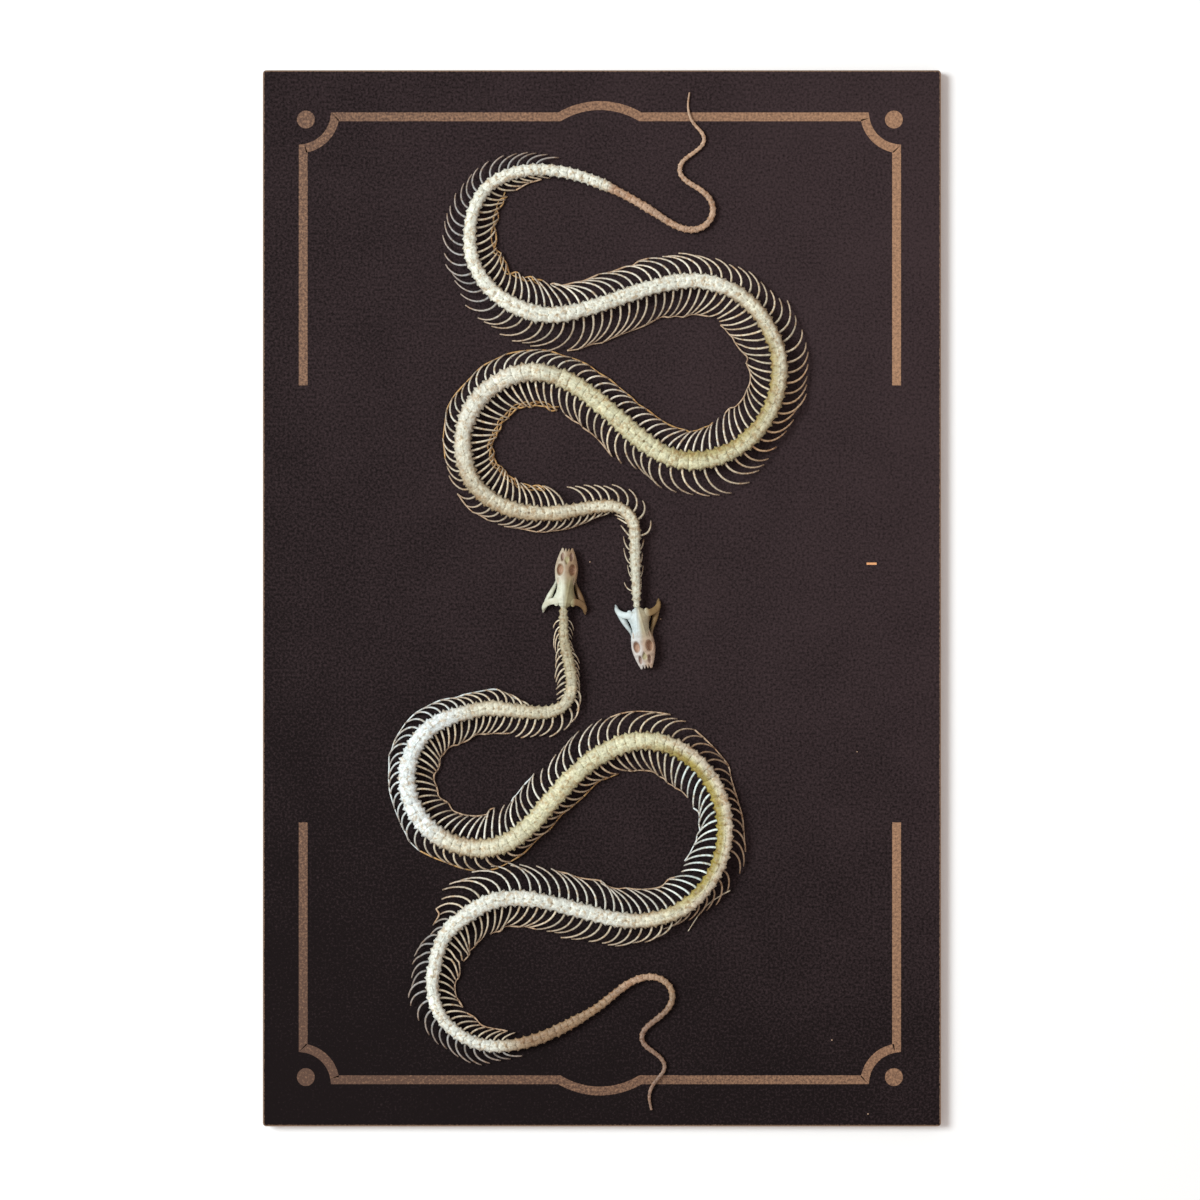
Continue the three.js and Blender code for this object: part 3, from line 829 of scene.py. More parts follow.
@dataclass(frozen=True)
class RibShape:
    """Proportions of the ribs, and how much they differ.

    Root places are shares of the spine's half width and height, and knob_length is one of the rib.
    Spreads are shares of a rib's reach or colour, a trail's being trail_spread times the reach's.
    Radii, the knob and lift are in millimetres. Over the stretch neck the ribs pass from thinner,
    looser ones to the others. Bundling is how strongly the reach and the trail each wander from
    rib to rib, and bundles is how many ribs long their waves are.
    """

    rings: int = 9
    corners: int = 5
    root_radius: float = 0.5
    tip_radius: float = 0.3
    taper: float = 0.8
    flatness: float = 0.85
    knob: float = 0.16
    knob_length: float = 0.07
    root_side: float = 0.72
    root_height: float = 0.38
    neck: tuple[float, float] = (12, 30)
    neck_thinning: float = 0.3
    spread: float = 0.03
    neck_spread: float = 0.1
    trail_spread: float = 1.4
    bundling: tuple[float, float] = (0.03, 0.2)
    bundles: tuple[float, ...] = (4.3, 8.7, 17.0)
    lift: float = 0.9
    tan: float = 0.55
    colour_spread: float = 0.12


RIB = RibShape()


@dataclass(frozen=True)
class Strand:
    """Dried gristle that joins the rib tips of one side, from start to end, as crossing threads.

    Waves are in ribs to a turn for wander, and in radians to a rib for swelling and colour.
    """

    start: float
    end: float
    side: Side
    colour: str = GRISTLE
    threads: int = 1
    radius: float = 0.33
    wander: float = 5.3
    swelling: float = 0.25
    swelling_wave: float = 2.3
    thread_step: float = 6
    shading: float = 0.1
    shading_wave: float = 1.1


@dataclass(frozen=True)
class Gap:
    """A stretch of one side whose ribs are missing."""

    start: float
    end: float
    side: Side


@dataclass
class Backbone:
    """One snake's spine and ribs along its route on the board.

    Lengths are its divisions, each a name and the place where it ends. Up to full_ribs_from only
    every other vertebra carries a rib. Rust is old fat in the waists of the vertebrae, and knobbly
    is how far their points stray, in half widths.
    """

    name: str
    route: np.ndarray
    sway: np.ndarray
    reach: np.ndarray
    lengths: tuple[tuple[str, float], ...]
    stains: tuple[Stain, ...]
    rib_stains: tuple[Stain, ...]
    strands: tuple[Strand, ...]
    gaps: tuple[Gap, ...]
    seed: int
    full_ribs_from: float = 36.0
    curve_steps: int = 80
    first_vertebra: float = 1.4
    last_gap: float = 2.2
    width_spread: float = 0.025
    colour_spread: float = 0.06
    knobbly: float = 0.024
    flank_brown: float = 0.75
    flank: tuple[float, float] = (0.3, 0.95)
    rust: float = 0.4
    rust_length: float = 0.25
    rust_sides: tuple[float, float] = (0.4, 0.75)
    tips: dict[Side, list[np.ndarray]] = field(init=False)
    random: np.random.Generator = field(init=False)
    curve: np.ndarray = field(init=False)
    curve_length: np.ndarray = field(init=False)
    curve_heading: np.ndarray = field(init=False)

    def __post_init__(self) -> None:
        """Works out the route as a dense row of points.

        Between two places the curve is a cubic Bezier. Its handles are chord / (3 * cos(turn / 4)
        squared) long, as they are for an arc of a circle that turns as much. The spine stands off
        that curve by its sway, and its places are still measured along the curve.
        """
        self.random = np.random.default_rng(self.seed)
        self.tips = {side: [] for side in Side}
        start, end = self.route[:-1], self.route[1:]
        turn = np.radians((end[:, 2] - start[:, 2] + 540) % 360 - 180)
        chord = np.hypot(*(end[:, :2] - start[:, :2]).T)
        handle = (chord / (3 * np.cos(turn / 4) ** 2))[:, None]
        headings = np.radians(self.route[:, 2])
        ways = np.column_stack([np.cos(headings), np.sin(headings)])
        first = start[:, :2] + handle * ways[:-1]
        second = end[:, :2] - handle * ways[1:]
        t = np.linspace(0, 1, self.curve_steps, endpoint=False)[None, :, None]
        arcs = (
            (1 - t) ** 3 * start[:, None, :2] + 3 * (1 - t) ** 2 * t * first[:, None]
            + 3 * (1 - t) * t ** 2 * second[:, None] + t ** 3 * end[:, None, :2]
        )
        self.curve = np.vstack([arcs.reshape(-1, 2), self.route[-1, :2]])
        steps = np.hypot(*np.diff(self.curve, axis=0).T)
        self.curve_length = np.concatenate([[0], np.cumsum(steps)])
        run = np.gradient(self.curve, axis=0)
        run /= np.linalg.norm(run, axis=1, keepdims=True)
        right = np.column_stack([-run[:, 1], run[:, 0]])
        self.curve = self.curve + eased(self.sway, self.curve_length)[:, None] * right
        run = np.gradient(self.curve, axis=0)
        self.curve_heading = np.unwrap(np.arctan2(run[:, 1], run[:, 0]))

    @property
    def length(self) -> float:
        """Length of the whole spine."""
        return float(self.curve_length[-1])

    def frame_at(self, along: np.ndarray) -> tuple[np.ndarray, np.ndarray, np.ndarray]:
        """Gives the spine's place and directions.

        Args:
            along: Distances along the spine.

        Returns:
            Its middle, its direction and the direction out to the right, in x and y.
        """
        middle = np.stack([np.interp(along, self.curve_length, axis) for axis in self.curve.T], -1)
        heading = np.interp(along, self.curve_length, self.curve_heading)
        ahead = np.stack([np.cos(heading), np.sin(heading)], -1)
        right = np.stack([-np.sin(heading), np.cos(heading)], -1)
        return middle, ahead, right

    def place(self, along: np.ndarray, side: np.ndarray, height: np.ndarray) -> np.ndarray:
        """Gives points from places beside the spine.

        Args:
            along: Distance of each along the spine.
            side: How far each is out to the right.
            height: How far each is above the board.

        Returns:
            Points in millimetres in the model's frame.
        """
        middle, _, right = self.frame_at(along)
        flat = middle + right * side[..., None]
        return np.concatenate([flat, (BOARD_FACE + height)[..., None]], axis=-1)

    def vertebrae(self) -> np.ndarray:
        """Sets out the vertebrae, each a vertebra's length behind the one before.

        Returns:
            Their middles, as distances along the spine.
        """
        places = [self.first_vertebra]
        while places[-1] < self.length - self.last_gap:
            here = np.array(places[-1])
            places.append(places[-1] + float(eased(VERTEBRA_LENGTH, here)))
        return np.array(places)

    def bone_tint(self, along: np.ndarray, side: np.ndarray, up: np.ndarray) -> np.ndarray:
        """Colours the vertebrae: a pale crest, browner flanks, stains, and painted shade underneath.

        The painted shade makes the undersides half as bright as the rest.

        Args:
            along: Distance along the spine of each point.
            side: Its side, in half widths.
            up: Its height, as a share of the vertebra's.

        Returns:
            Linear colours.
        """
        tint = np.broadcast_to(linear(IVORY), (*along.shape, 3))
        at_flank = smooth_step(*self.flank, np.abs(side))
        tint = blended(tint, linear(FLANK_BROWN), self.flank_brown * at_flank)
        for stain in self.stains:
            tint = stain.apply(tint, along, side)
        # Painted shade: each vertebra is darkened towards its underside, down to half.
        return tint * (0.5 + 0.5 * smooth_step(0.05, 0.55, up))[..., None]

    def vertebra_grid(self, places: np.ndarray) -> tuple[np.ndarray, np.ndarray]:
        """Builds the bodies and arches of a row of vertebrae, each stiff in itself.

        A corner stands (ring.back + corner.sweep * ring.back * 2) lengths behind the middle,
        corner.out * ring.arch + corner.wing * ring.wing half widths out, and
        corner.up * (1 + ring.lift) of the height up. Flecks of old fat sit in the waist, by a bell
        curve along the vertebra and the square of a random share.

        Args:
            places: Middles of the vertebrae along the spine.

        Returns:
            Points and their colours, as vertebra, ring, corner and axis.
        """
        corners = [KEEL, *FLANK_CORNERS, RIDGE, *reversed(FLANK_CORNERS)]
        signs = np.array([0] + [1] * len(FLANK_CORNERS) + [0] + [-1] * len(FLANK_CORNERS))
        out, wing, up, sweep = np.array([[c.out, c.wing, c.up, c.sweep] for c in corners]).T
        rings = np.array([[r.back, r.arch, r.wing, r.lift] for r in VERTEBRA_RINGS])
        back, arch, wings, lift = rings.T[:, :, None]
        side = signs * (out * arch + wing * wings)
        share = up * (1 + lift)
        behind = back + sweep * back * 2
        size = 1 + self.random.normal(0, self.width_spread, len(places))
        grid, tint = self._stiff(places, behind, side, share, size)
        at_waist = np.exp(-((back / self.rust_length) ** 2))
        at_waist = at_waist * smooth_step(*self.rust_sides, np.abs(side))
        rusty = self.random.uniform(0, 1, (len(places), 1, len(corners))) ** 2
        return grid, blended(tint, linear(ORANGE_TAN), self.rust * at_waist * rusty)

    def crest_grid(self, places: np.ndarray) -> tuple[np.ndarray, np.ndarray]:
        """Builds the low blade along the top of each vertebra, stiff like the vertebra.

        Its section is a tent from CREST_FOOT of the height up to the crest, wide at its foot and
        thin at its edge, and it thins to its two ends.

        Args:
            places: Middles of the vertebrae along the spine.

        Returns:
            Points and their colours, as vertebra, ring, corner and axis.
        """
        back, thick, rise = CREST_RINGS.T[:, :, None]
        out, to_edge = CREST_SECTION.T
        side = thick * out
        share = CREST_FOOT + (rise - CREST_FOOT) * to_edge
        behind = back + np.zeros(len(out))
        return self._stiff(places, behind, side, share, np.ones(len(places)))

    def _stiff(
        self, places: np.ndarray, behind: np.ndarray, side: np.ndarray, share: np.ndarray,
        size: np.ndarray,
    ) -> tuple[np.ndarray, np.ndarray]:
        """Sets copies of one shape at the vertebrae, sized and turned to each.

        Args:
            places: Middles of the vertebrae along the spine.
            behind: Place of each corner, in lengths of the vertebra.
            side: Side of each corner, in half widths.
            share: Height of each corner, as a share of the vertebra's.
            size: A factor on the width of each vertebra.

        Returns:
            Points and their colours, as vertebra, ring, corner and axis.
        """
        middle, ahead, right = (part[:, None, None, :] for part in self.frame_at(places))
        length, half, low, top = (
            value[:, None, None] for value in (
                eased(VERTEBRA_LENGTH, places),
                *(eased(SPINE_SIZES, places, column) for column in (1, 2, 3)),
            )
        )
        half = half * size[:, None, None]
        flat = middle + ahead * (length * behind)[..., None] + right * (half * side)[..., None]
        height = BOARD_FACE + low + (top - low) * share
        grid = np.concatenate([flat, height[..., None]], axis=-1)
        grid = grid + self.random.normal(0, self.knobbly, grid.shape) * half[..., None]
        along = places[:, None, None] + length * behind
        tint = self.bone_tint(along, side + 0 * along, share + 0 * along)
        fleck = 1 + self.random.normal(0, self.colour_spread, len(places))
        return grid, tint * fleck[:, None, None, None]

    def bundled(self, count: int, size: float) -> np.ndarray:
        """Gives a slow wander from rib to rib, so that neighbours lean together in bundles.

        It is the sum of three sine waves, 4 to 17 ribs long, each started at random.

        Args:
            count: How many ribs there are.
            size: How strong the wander is.

        Returns:
            A share to be added for each rib.
        """
        order = np.arange(count)
        waves = [
            np.sin(2 * np.pi * order / period + self.random.uniform(0, 2 * np.pi))
            for period in RIB.bundles
        ]
        return size * np.sum(waves, axis=0) / math.sqrt(len(RIB.bundles))

    def rib_grid(self, places: np.ndarray, side: Side) -> tuple[np.ndarray, np.ndarray]:
        """Builds the ribs of one side.

        A rib leaves the flank sideways and curves back and down like a quarter of an ellipse: at
        part p of its arc, its side is root + (reach - root) * sin(arc * p) / sin(arc), it has gone
        back trail * (1 - cos(arc * p)) / (1 - cos(arc)), and it has come down by p squared of the
        way to the board. It thins from a knob at its head to a blunt point.

        Args:
            places: Vertebrae that carry the ribs.
            side: The side of the snake.

        Returns:
            Points and their colours, as rib, ring, corner and axis.
        """
        count = len(places)
        part = np.linspace(0, 1, RIB.rings)[None, :]
        neck = 1 - smooth_step(*RIB.neck, places)
        loose = RIB.spread + RIB.neck_spread * neck
        column = 1 if side is Side.RIGHT else 2
        trail = eased(self.reach, places, column + 2)
        reach = eased(self.reach, places, column) * (1 + loose * self.random.normal(0, 1, count))
        reach = reach * (1 + self.bundled(count, RIB.bundling[0]))
        trail = trail * (1 + RIB.trail_spread * loose * self.random.normal(0, 1, count))
        trail = trail * (1 + self.bundled(count, RIB.bundling[1]))
        half, low, top = (eased(SPINE_SIZES, places, size)[:, None] for size in (1, 2, 3))
        root_side = RIB.root_side * half
        root_height = low + RIB.root_height * (top - low)
        radius = RIB.tip_radius + (RIB.root_radius - RIB.tip_radius) * (1 - part) ** RIB.taper
        radius = radius * (1 - RIB.neck_thinning * neck[:, None])
        radius = radius + RIB.knob * np.exp(-((part / RIB.knob_length) ** 2))
        lifted = self.random.uniform(0, RIB.lift, count)[:, None]
        tip_height = GLUE_GAP + RIB.tip_radius + lifted
        out = root_side + (reach[:, None] - root_side) * np.sin(RIB_ARC * part) / math.sin(RIB_ARC)
        back = trail[:, None] * (1 - np.cos(RIB_ARC * part)) / (1 - math.cos(RIB_ARC))
        down = root_height + (tip_height - root_height) * part ** 2
        along = places[:, None] + back
        line = self.place(along, side.value * out, down)
        self.tips[side].append(np.column_stack([along[:, -1], line[:, -1]]))
        grid = section_tubes(line, radius, radius * RIB.flatness, RIB.corners, 1.0)
        toward_tip = smooth_step(0.35, 1.0, part + 0 * along)
        tint = np.broadcast_to(linear(RIB_CREAM), (*along.shape, 3))
        for stain in self.rib_stains:
            tint = stain.apply(tint, places[:, None] + 0 * along, side.value * np.ones_like(along))
        tint = blended(tint, linear(RIB_TAN), RIB.tan * toward_tip)
        fleck = 1 + self.random.normal(0, RIB.colour_spread, count)[:, None, None, None]
        return grid, tint[:, :, None, :] * fleck

    def carriers(self, places: np.ndarray, side: Side) -> np.ndarray:
        """Picks the vertebrae with a rib on one side: in a short-ribbed neck, every other one.

        Args:
            places: Middles of the vertebrae along the spine.
            side: The side of the snake.

        Returns:
            The places that are picked.
        """
        kept = places[(places >= FIRST_RIB) & (places < self.reach[-1, 0])]
        kept = kept[(kept > self.full_ribs_from) | (np.arange(len(kept)) % 2 == 0)]
        for gap in self.gaps:
            if gap.side is side:
                kept = kept[(kept < gap.start) | (kept > gap.end)]
        return kept

    def strand_grid(self, strand: Strand) -> tuple[np.ndarray, np.ndarray]:
        """Builds the threads of gristle through the rib tips.

        Their middle is the tips' own line, read at four places to a rib, and each point is then
        averaged with its neighbours by weights 1, 2 and 1, three times over. Where there are more
        threads than one, each wanders up to 2 mm towards the spine and back as a sine wave, a
        share of a turn after the one before. Their radius swells and shrinks by a quarter.

        Args:
            strand: The side, and where the threads start and end.

        Returns:
            Points and their colours, as thread, ring, corner and axis.
        """
        tips = np.concatenate(self.tips[strand.side])
        tips = tips[np.argsort(tips[:, 0])]
        tips = tips[(tips[:, 0] >= strand.start) & (tips[:, 0] <= strand.end)]
        order = np.linspace(0, len(tips) - 1, 4 * len(tips))
        line = np.stack([np.interp(order, np.arange(len(tips)), axis) for axis in tips.T], -1)
        for _ in range(3):
            line[1:-1] = (line[:-2] + 2 * line[1:-1] + line[2:]) / 4
        _, _, right = self.frame_at(line[:, 0])
        turn = np.arange(strand.threads)[:, None] / strand.threads
        inward = (1 - np.cos(2 * np.pi * (order / strand.wander + turn))) * (strand.threads > 1)
        lines = np.repeat(line[None, :, 1:], strand.threads, axis=0)
        lines[..., :2] -= strand.side.value * inward[..., None] * right
        swollen = np.sin(order * strand.swelling_wave + strand.thread_step * turn)
        radius = strand.radius * (1 + strand.swelling * swollen)
        grid = section_tubes(lines, radius, radius, RIB.corners, 1.0)
        shade = 1 + strand.shading * np.sin(order * strand.shading_wave)
        return grid, linear(strand.colour) * shade[None, :, None, None]

    def build(self, bone: bpy.types.Material, replaced: dict[str, tuple[str, ...]]) -> None:
        """Builds every length of the spine and its ribs as pieces of their own, and the gristle.

        Args:
            bone: The bone material.
            replaced: CAD nodes that the vertebrae of a length stand for, by the length's name.
        """
        everywhere = self.vertebrae()
        start = 0.0
        for name, end in self.lengths:
            places = everywhere[(everywhere >= start) & (everywhere < end)]
            slot = "tail_bone" if "tail" in name else "bone"
            spine = PieceMesh()
            spine.add_tubes(*self.vertebra_grid(places), flat_ends=True)
            spine.add_tubes(*self.crest_grid(places), flat_ends=True)
            piece = spine.make(f"{self.name}_{name}_vertebrae", bone, slot)
            if name in replaced:
                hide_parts(*replaced[name])
            for side in Side:
                carriers = self.carriers(places, side)
                if len(carriers):
                    ribs = PieceMesh()
                    ribs.add_tubes(*self.rib_grid(carriers, side))
                    ribs.make(f"{self.name}_{name}_ribs_{side.name.lower()}", bone, "bone")
            start = end
        threads = PieceMesh()
        for strand in self.strands:
            threads.add_tubes(*self.strand_grid(strand))
        threads.make(f"{self.name}_rib_tip_gristle", bone, "bone")


# ---------------------------------------------------------------- skull


@dataclass(frozen=True)
class SkullBar:
    """One bone of a skull, as an oval section carried along a curve.

    Each row is forward, side, height, half width and half height. An end is rounded off over
    rounded_rings, by a quarter of a circle that starts at its share end_size.
    """

    rows: tuple[tuple[float, float, float, float, float], ...]
    rings: int = 18
    corners: int = 10
    fullness: float = 0.85
    rounded_rings: float = 2.0
    end_size: float = 0.12

    def curve(self, way: int) -> np.ndarray:
        """Gives the bar's middle and half sizes at each ring, through its rows.

        Between rows it is a Catmull-Rom curve: a cubic whose slope at each row is half the step
        from the row before to the row after.

        Args:
            way: 1 for the snake's left, -1 for its right.

        Returns:
            Ring by forward, side, height, half width and half height.
        """
        rows = np.array(self.rows)
        padded = np.vstack([2 * rows[0] - rows[1], rows, 2 * rows[-1] - rows[-2]])
        place = np.linspace(0, len(rows) - 1, self.rings)
        first = np.minimum(place.astype(int), len(rows) - 2)
        t = (place - first)[:, None]
        a, b, c, d = (padded[first + step] for step in range(4))
        cubic = (3 * (b - c) + d - a) * t ** 3 + (2 * a - 5 * b + 4 * c - d) * t ** 2
        values = b + 0.5 * (cubic + (c - a) * t)
        values[:, 1] *= way
        return values

    def grid(self, way: int) -> np.ndarray:
        """Builds the bar, with its two ends rounded off.

        Args:
            way: 1 for the snake's left, -1 for its right.

        Returns:
            Points as tube, ring, corner and axis, the axes being forward, side and height.
        """
        values = self.curve(way)
        ring = np.arange(self.rings)
        near_end = np.minimum(ring, ring[::-1]) / self.rounded_rings
        rounding = np.sqrt(1 - (1 - np.clip(near_end + self.end_size, 0, 1)) ** 2)
        return section_tubes(
            values[None, :, :3], (values[:, 3] * rounding)[None], (values[:, 4] * rounding)[None],
            self.corners, self.fullness,
        )


@dataclass(frozen=True)
class Pit:
    """An oval hollow in the skull's roof, on both sides where its side isn't 0.

    Forward and side are its middle, length and width its half sizes, and floor the height of its
    bottom. By taper it is wider in front than behind.
    """

    forward: float
    side: float
    length: float
    width: float
    floor: float
    colour: str
    taper: float = 0.0


ORBIT = Pit(15.4, 2.65, 2.4, 1.4, 3.6, "#a57e62")
NOSTRIL = Pit(20.9, 1.9, 1.9, 0.75, 3.8, "#97796a")
TEMPLE_SLOT = Pit(10.4, 3.35, 1.5, 0.26, 5.2, "#b39c86")
FRONTAL_PIT = Pit(19.3, 0.0, 1.8, 1.0, 5.0, "#a59c72", 0.75)


@dataclass(frozen=True)
class SkullRoof:
    """The braincase, frontals, cheeks and snout, grown together as one arched shell.

    Each row is forward, half width, height on the middle line, height at the rim and height of the
    underside.
    """

    rows: tuple[tuple[float, float, float, float, float], ...] = (
        (-0.7, 1.1, 5.0, 4.5, 3.7), (0.4, 2.4, 6.2, 5.0, 3.2), (1.8, 3.7, 6.8, 5.2, 3.0),
        (3.4, 4.35, 7.1, 5.0, 2.9), (6.0, 3.75, 7.3, 4.7, 2.8), (8.6, 3.45, 7.2, 4.6, 2.8),
        (10.6, 4.0, 6.9, 4.8, 2.8), (12.4, 4.35, 6.6, 5.2, 2.8), (14.6, 4.6, 6.5, 4.1, 2.7),
        (17.0, 4.5, 6.3, 4.0, 2.7), (18.4, 4.25, 6.0, 4.6, 2.7), (20.0, 3.9, 5.5, 4.0, 2.7),
        (22.6, 3.1, 4.7, 3.7, 2.7), (24.0, 2.55, 4.2, 3.5, 2.7), (24.6, 2.3, 3.8, 3.3, 2.8),
    )
    pits: tuple[Pit, ...] = (ORBIT, NOSTRIL, TEMPLE_SLOT, FRONTAL_PIT)
    rings: int = 104
    top_points: int = 45
    doming: float = 2.3
    notch_sides: tuple[float, ...] = (0.1, 1.2)
    notch_depth: float = 1.3
    notch_width: float = 0.28
    notch_reach: tuple[float, float] = (22.6, 24.8)
    ridge_height: float = 0.22
    ridge_width: float = 0.35
    ridge_side: float = 0.5
    ridge_parting: float = 0.13
    ridge_end: tuple[float, float] = (10, 13)
    pit_lip: tuple[float, float] = (0.62, 1.14)

    def hollow(self, pit: Pit, forward: np.ndarray, side: np.ndarray) -> np.ndarray:
        """Gives how far each place is inside a pit.

        Args:
            pit: The pit.
            forward: How far forward each place is.
            side: Its side.

        Returns:
            0 outside the pit's lip, rising smoothly to 1 on its floor.
        """
        along = (forward - pit.forward) / pit.length
        across = (np.abs(side) - pit.side) / (pit.width * (1 + pit.taper * np.clip(along, -1, 1)))
        return 1 - smooth_step(*self.pit_lip, np.hypot(along, across))

    def grid(self) -> np.ndarray:
        """Builds the shell as closed rings across the skull, from the neck to the snout.

        At share t of the half width, the top is rim + (crown - rim) * (1 - |t| ** doming), sinks
        to the floor of each pit, and carries two low ridges that part towards the eyes. The
        underside is flat, and rises to the rim near its edges. The front edge is notched: each
        notch holds it back by notch_depth at its deepest, as a bell curve across the snout.

        Returns:
            Points as tube, ring, corner and axis, the axes being forward, side and height.
        """
        rows = np.array(self.rows)
        forward = np.linspace(rows[0, 0], rows[-1, 0], self.rings)[:, None]
        half, crown, rim, under = (eased(rows, forward, column) for column in range(1, 5))
        across = np.sin(np.linspace(-np.pi / 2, np.pi / 2, self.top_points))[None, :]
        side = half * across
        top = rim + (crown - rim) * (1 - np.abs(across) ** self.doming)
        ridge_side = self.ridge_side + self.ridge_parting * np.clip(forward, 0, self.ridge_end[1])
        ridge = np.exp(-(((np.abs(side) - ridge_side) / self.ridge_width) ** 2))
        top = top + self.ridge_height * ridge * (1 - smooth_step(*self.ridge_end, forward))
        for pit in self.pits:
            top = top + (pit.floor - top) * self.hollow(pit, forward, side)
        below = across[:, -2:0:-1]
        low = under + 0.35 * (rim - under) * below ** 6
        side = np.concatenate([side, half * below], axis=1)
        height = np.concatenate([top, low], axis=1)
        held = sum(
            np.exp(-(((np.abs(side) - notch) / self.notch_width) ** 2)) for notch in self.notch_sides
        )
        forward = forward - self.notch_depth * held * smooth_step(*self.notch_reach, forward)
        return np.stack([forward, side, height], axis=-1)[None]


ROOF = SkullRoof()
PALATE = SkullBar((
    (1.6, 5.4, 2.4, 0.5, 0.3), (5, 3.6, 2.3, 0.6, 0.3), (8, 2.4, 2.4, 0.7, 0.3),
    (16, 2.2, 2.4, 0.7, 0.35), (22, 1.7, 2.5, 0.5, 0.35),
), rings=22)
UPPER_MARGIN = SkullBar((
    (10.4, 4.0, 2.8, 0.4, 0.3), (14.6, 4.45, 2.75, 0.4, 0.4), (17, 4.35, 2.75, 0.4, 0.4),
    (20, 3.65, 2.75, 0.4, 0.4), (22.4, 2.8, 2.75, 0.4, 0.4), (23.2, 2.45, 2.75, 0.3, 0.3),
), rings=24)
CHEEK_PLATE = SkullBar((
    (2.3, 2.2, 5.7, 1.4, 0.5), (2.1, 4.2, 5.4, 1.45, 0.5), (1.7, 6.0, 4.6, 1.35, 0.5),
    (0.8, 7.6, 3.4, 1.3, 0.6), (-0.7, 8.6, 2.2, 0.95, 0.8), (-2.3, 9.0, 1.4, 0.45, 0.5),
), rings=24, corners=12)
BACK_SPIKE = SkullBar((
    (2.8, 3.7, 5.2, 1.6, 0.5), (1.4, 3.6, 5.1, 1.35, 0.4), (0.0, 3.4, 4.9, 0.5, 0.25),
))
LOWER_JAW = SkullBar((
    (-3.2, 9.0, 1.0, 0.25, 0.3), (-1.6, 8.6, 1.3, 0.7, 0.8), (0.6, 8.1, 1.5, 0.95, 1.1),
    (3.7, 6.65, 1.9, 1.25, 1.3), (6.4, 5.5, 1.7, 1.0, 1.15), (9.1, 4.25, 1.4, 0.75, 0.9),
    (11.9, 3.7, 1.2, 0.6, 0.8), (15, 3.8, 1.15, 0.6, 0.8), (20, 3.1, 1.1, 0.5, 0.75),
    (22.6, 2.1, 0.9, 0.4, 0.55),
), rings=40)


@dataclass(frozen=True)
class ToothRow:
    """A row of small hooked teeth along a bar: shares of the bar, how many, and their size."""

    first: float
    last: float
    count: int
    length: float
    upward: int


UPPER_TEETH = ToothRow(0.1, 0.97, 14, 0.8, -1)
LOWER_TEETH = ToothRow(0.55, 0.97, 14, 0.8, 1)


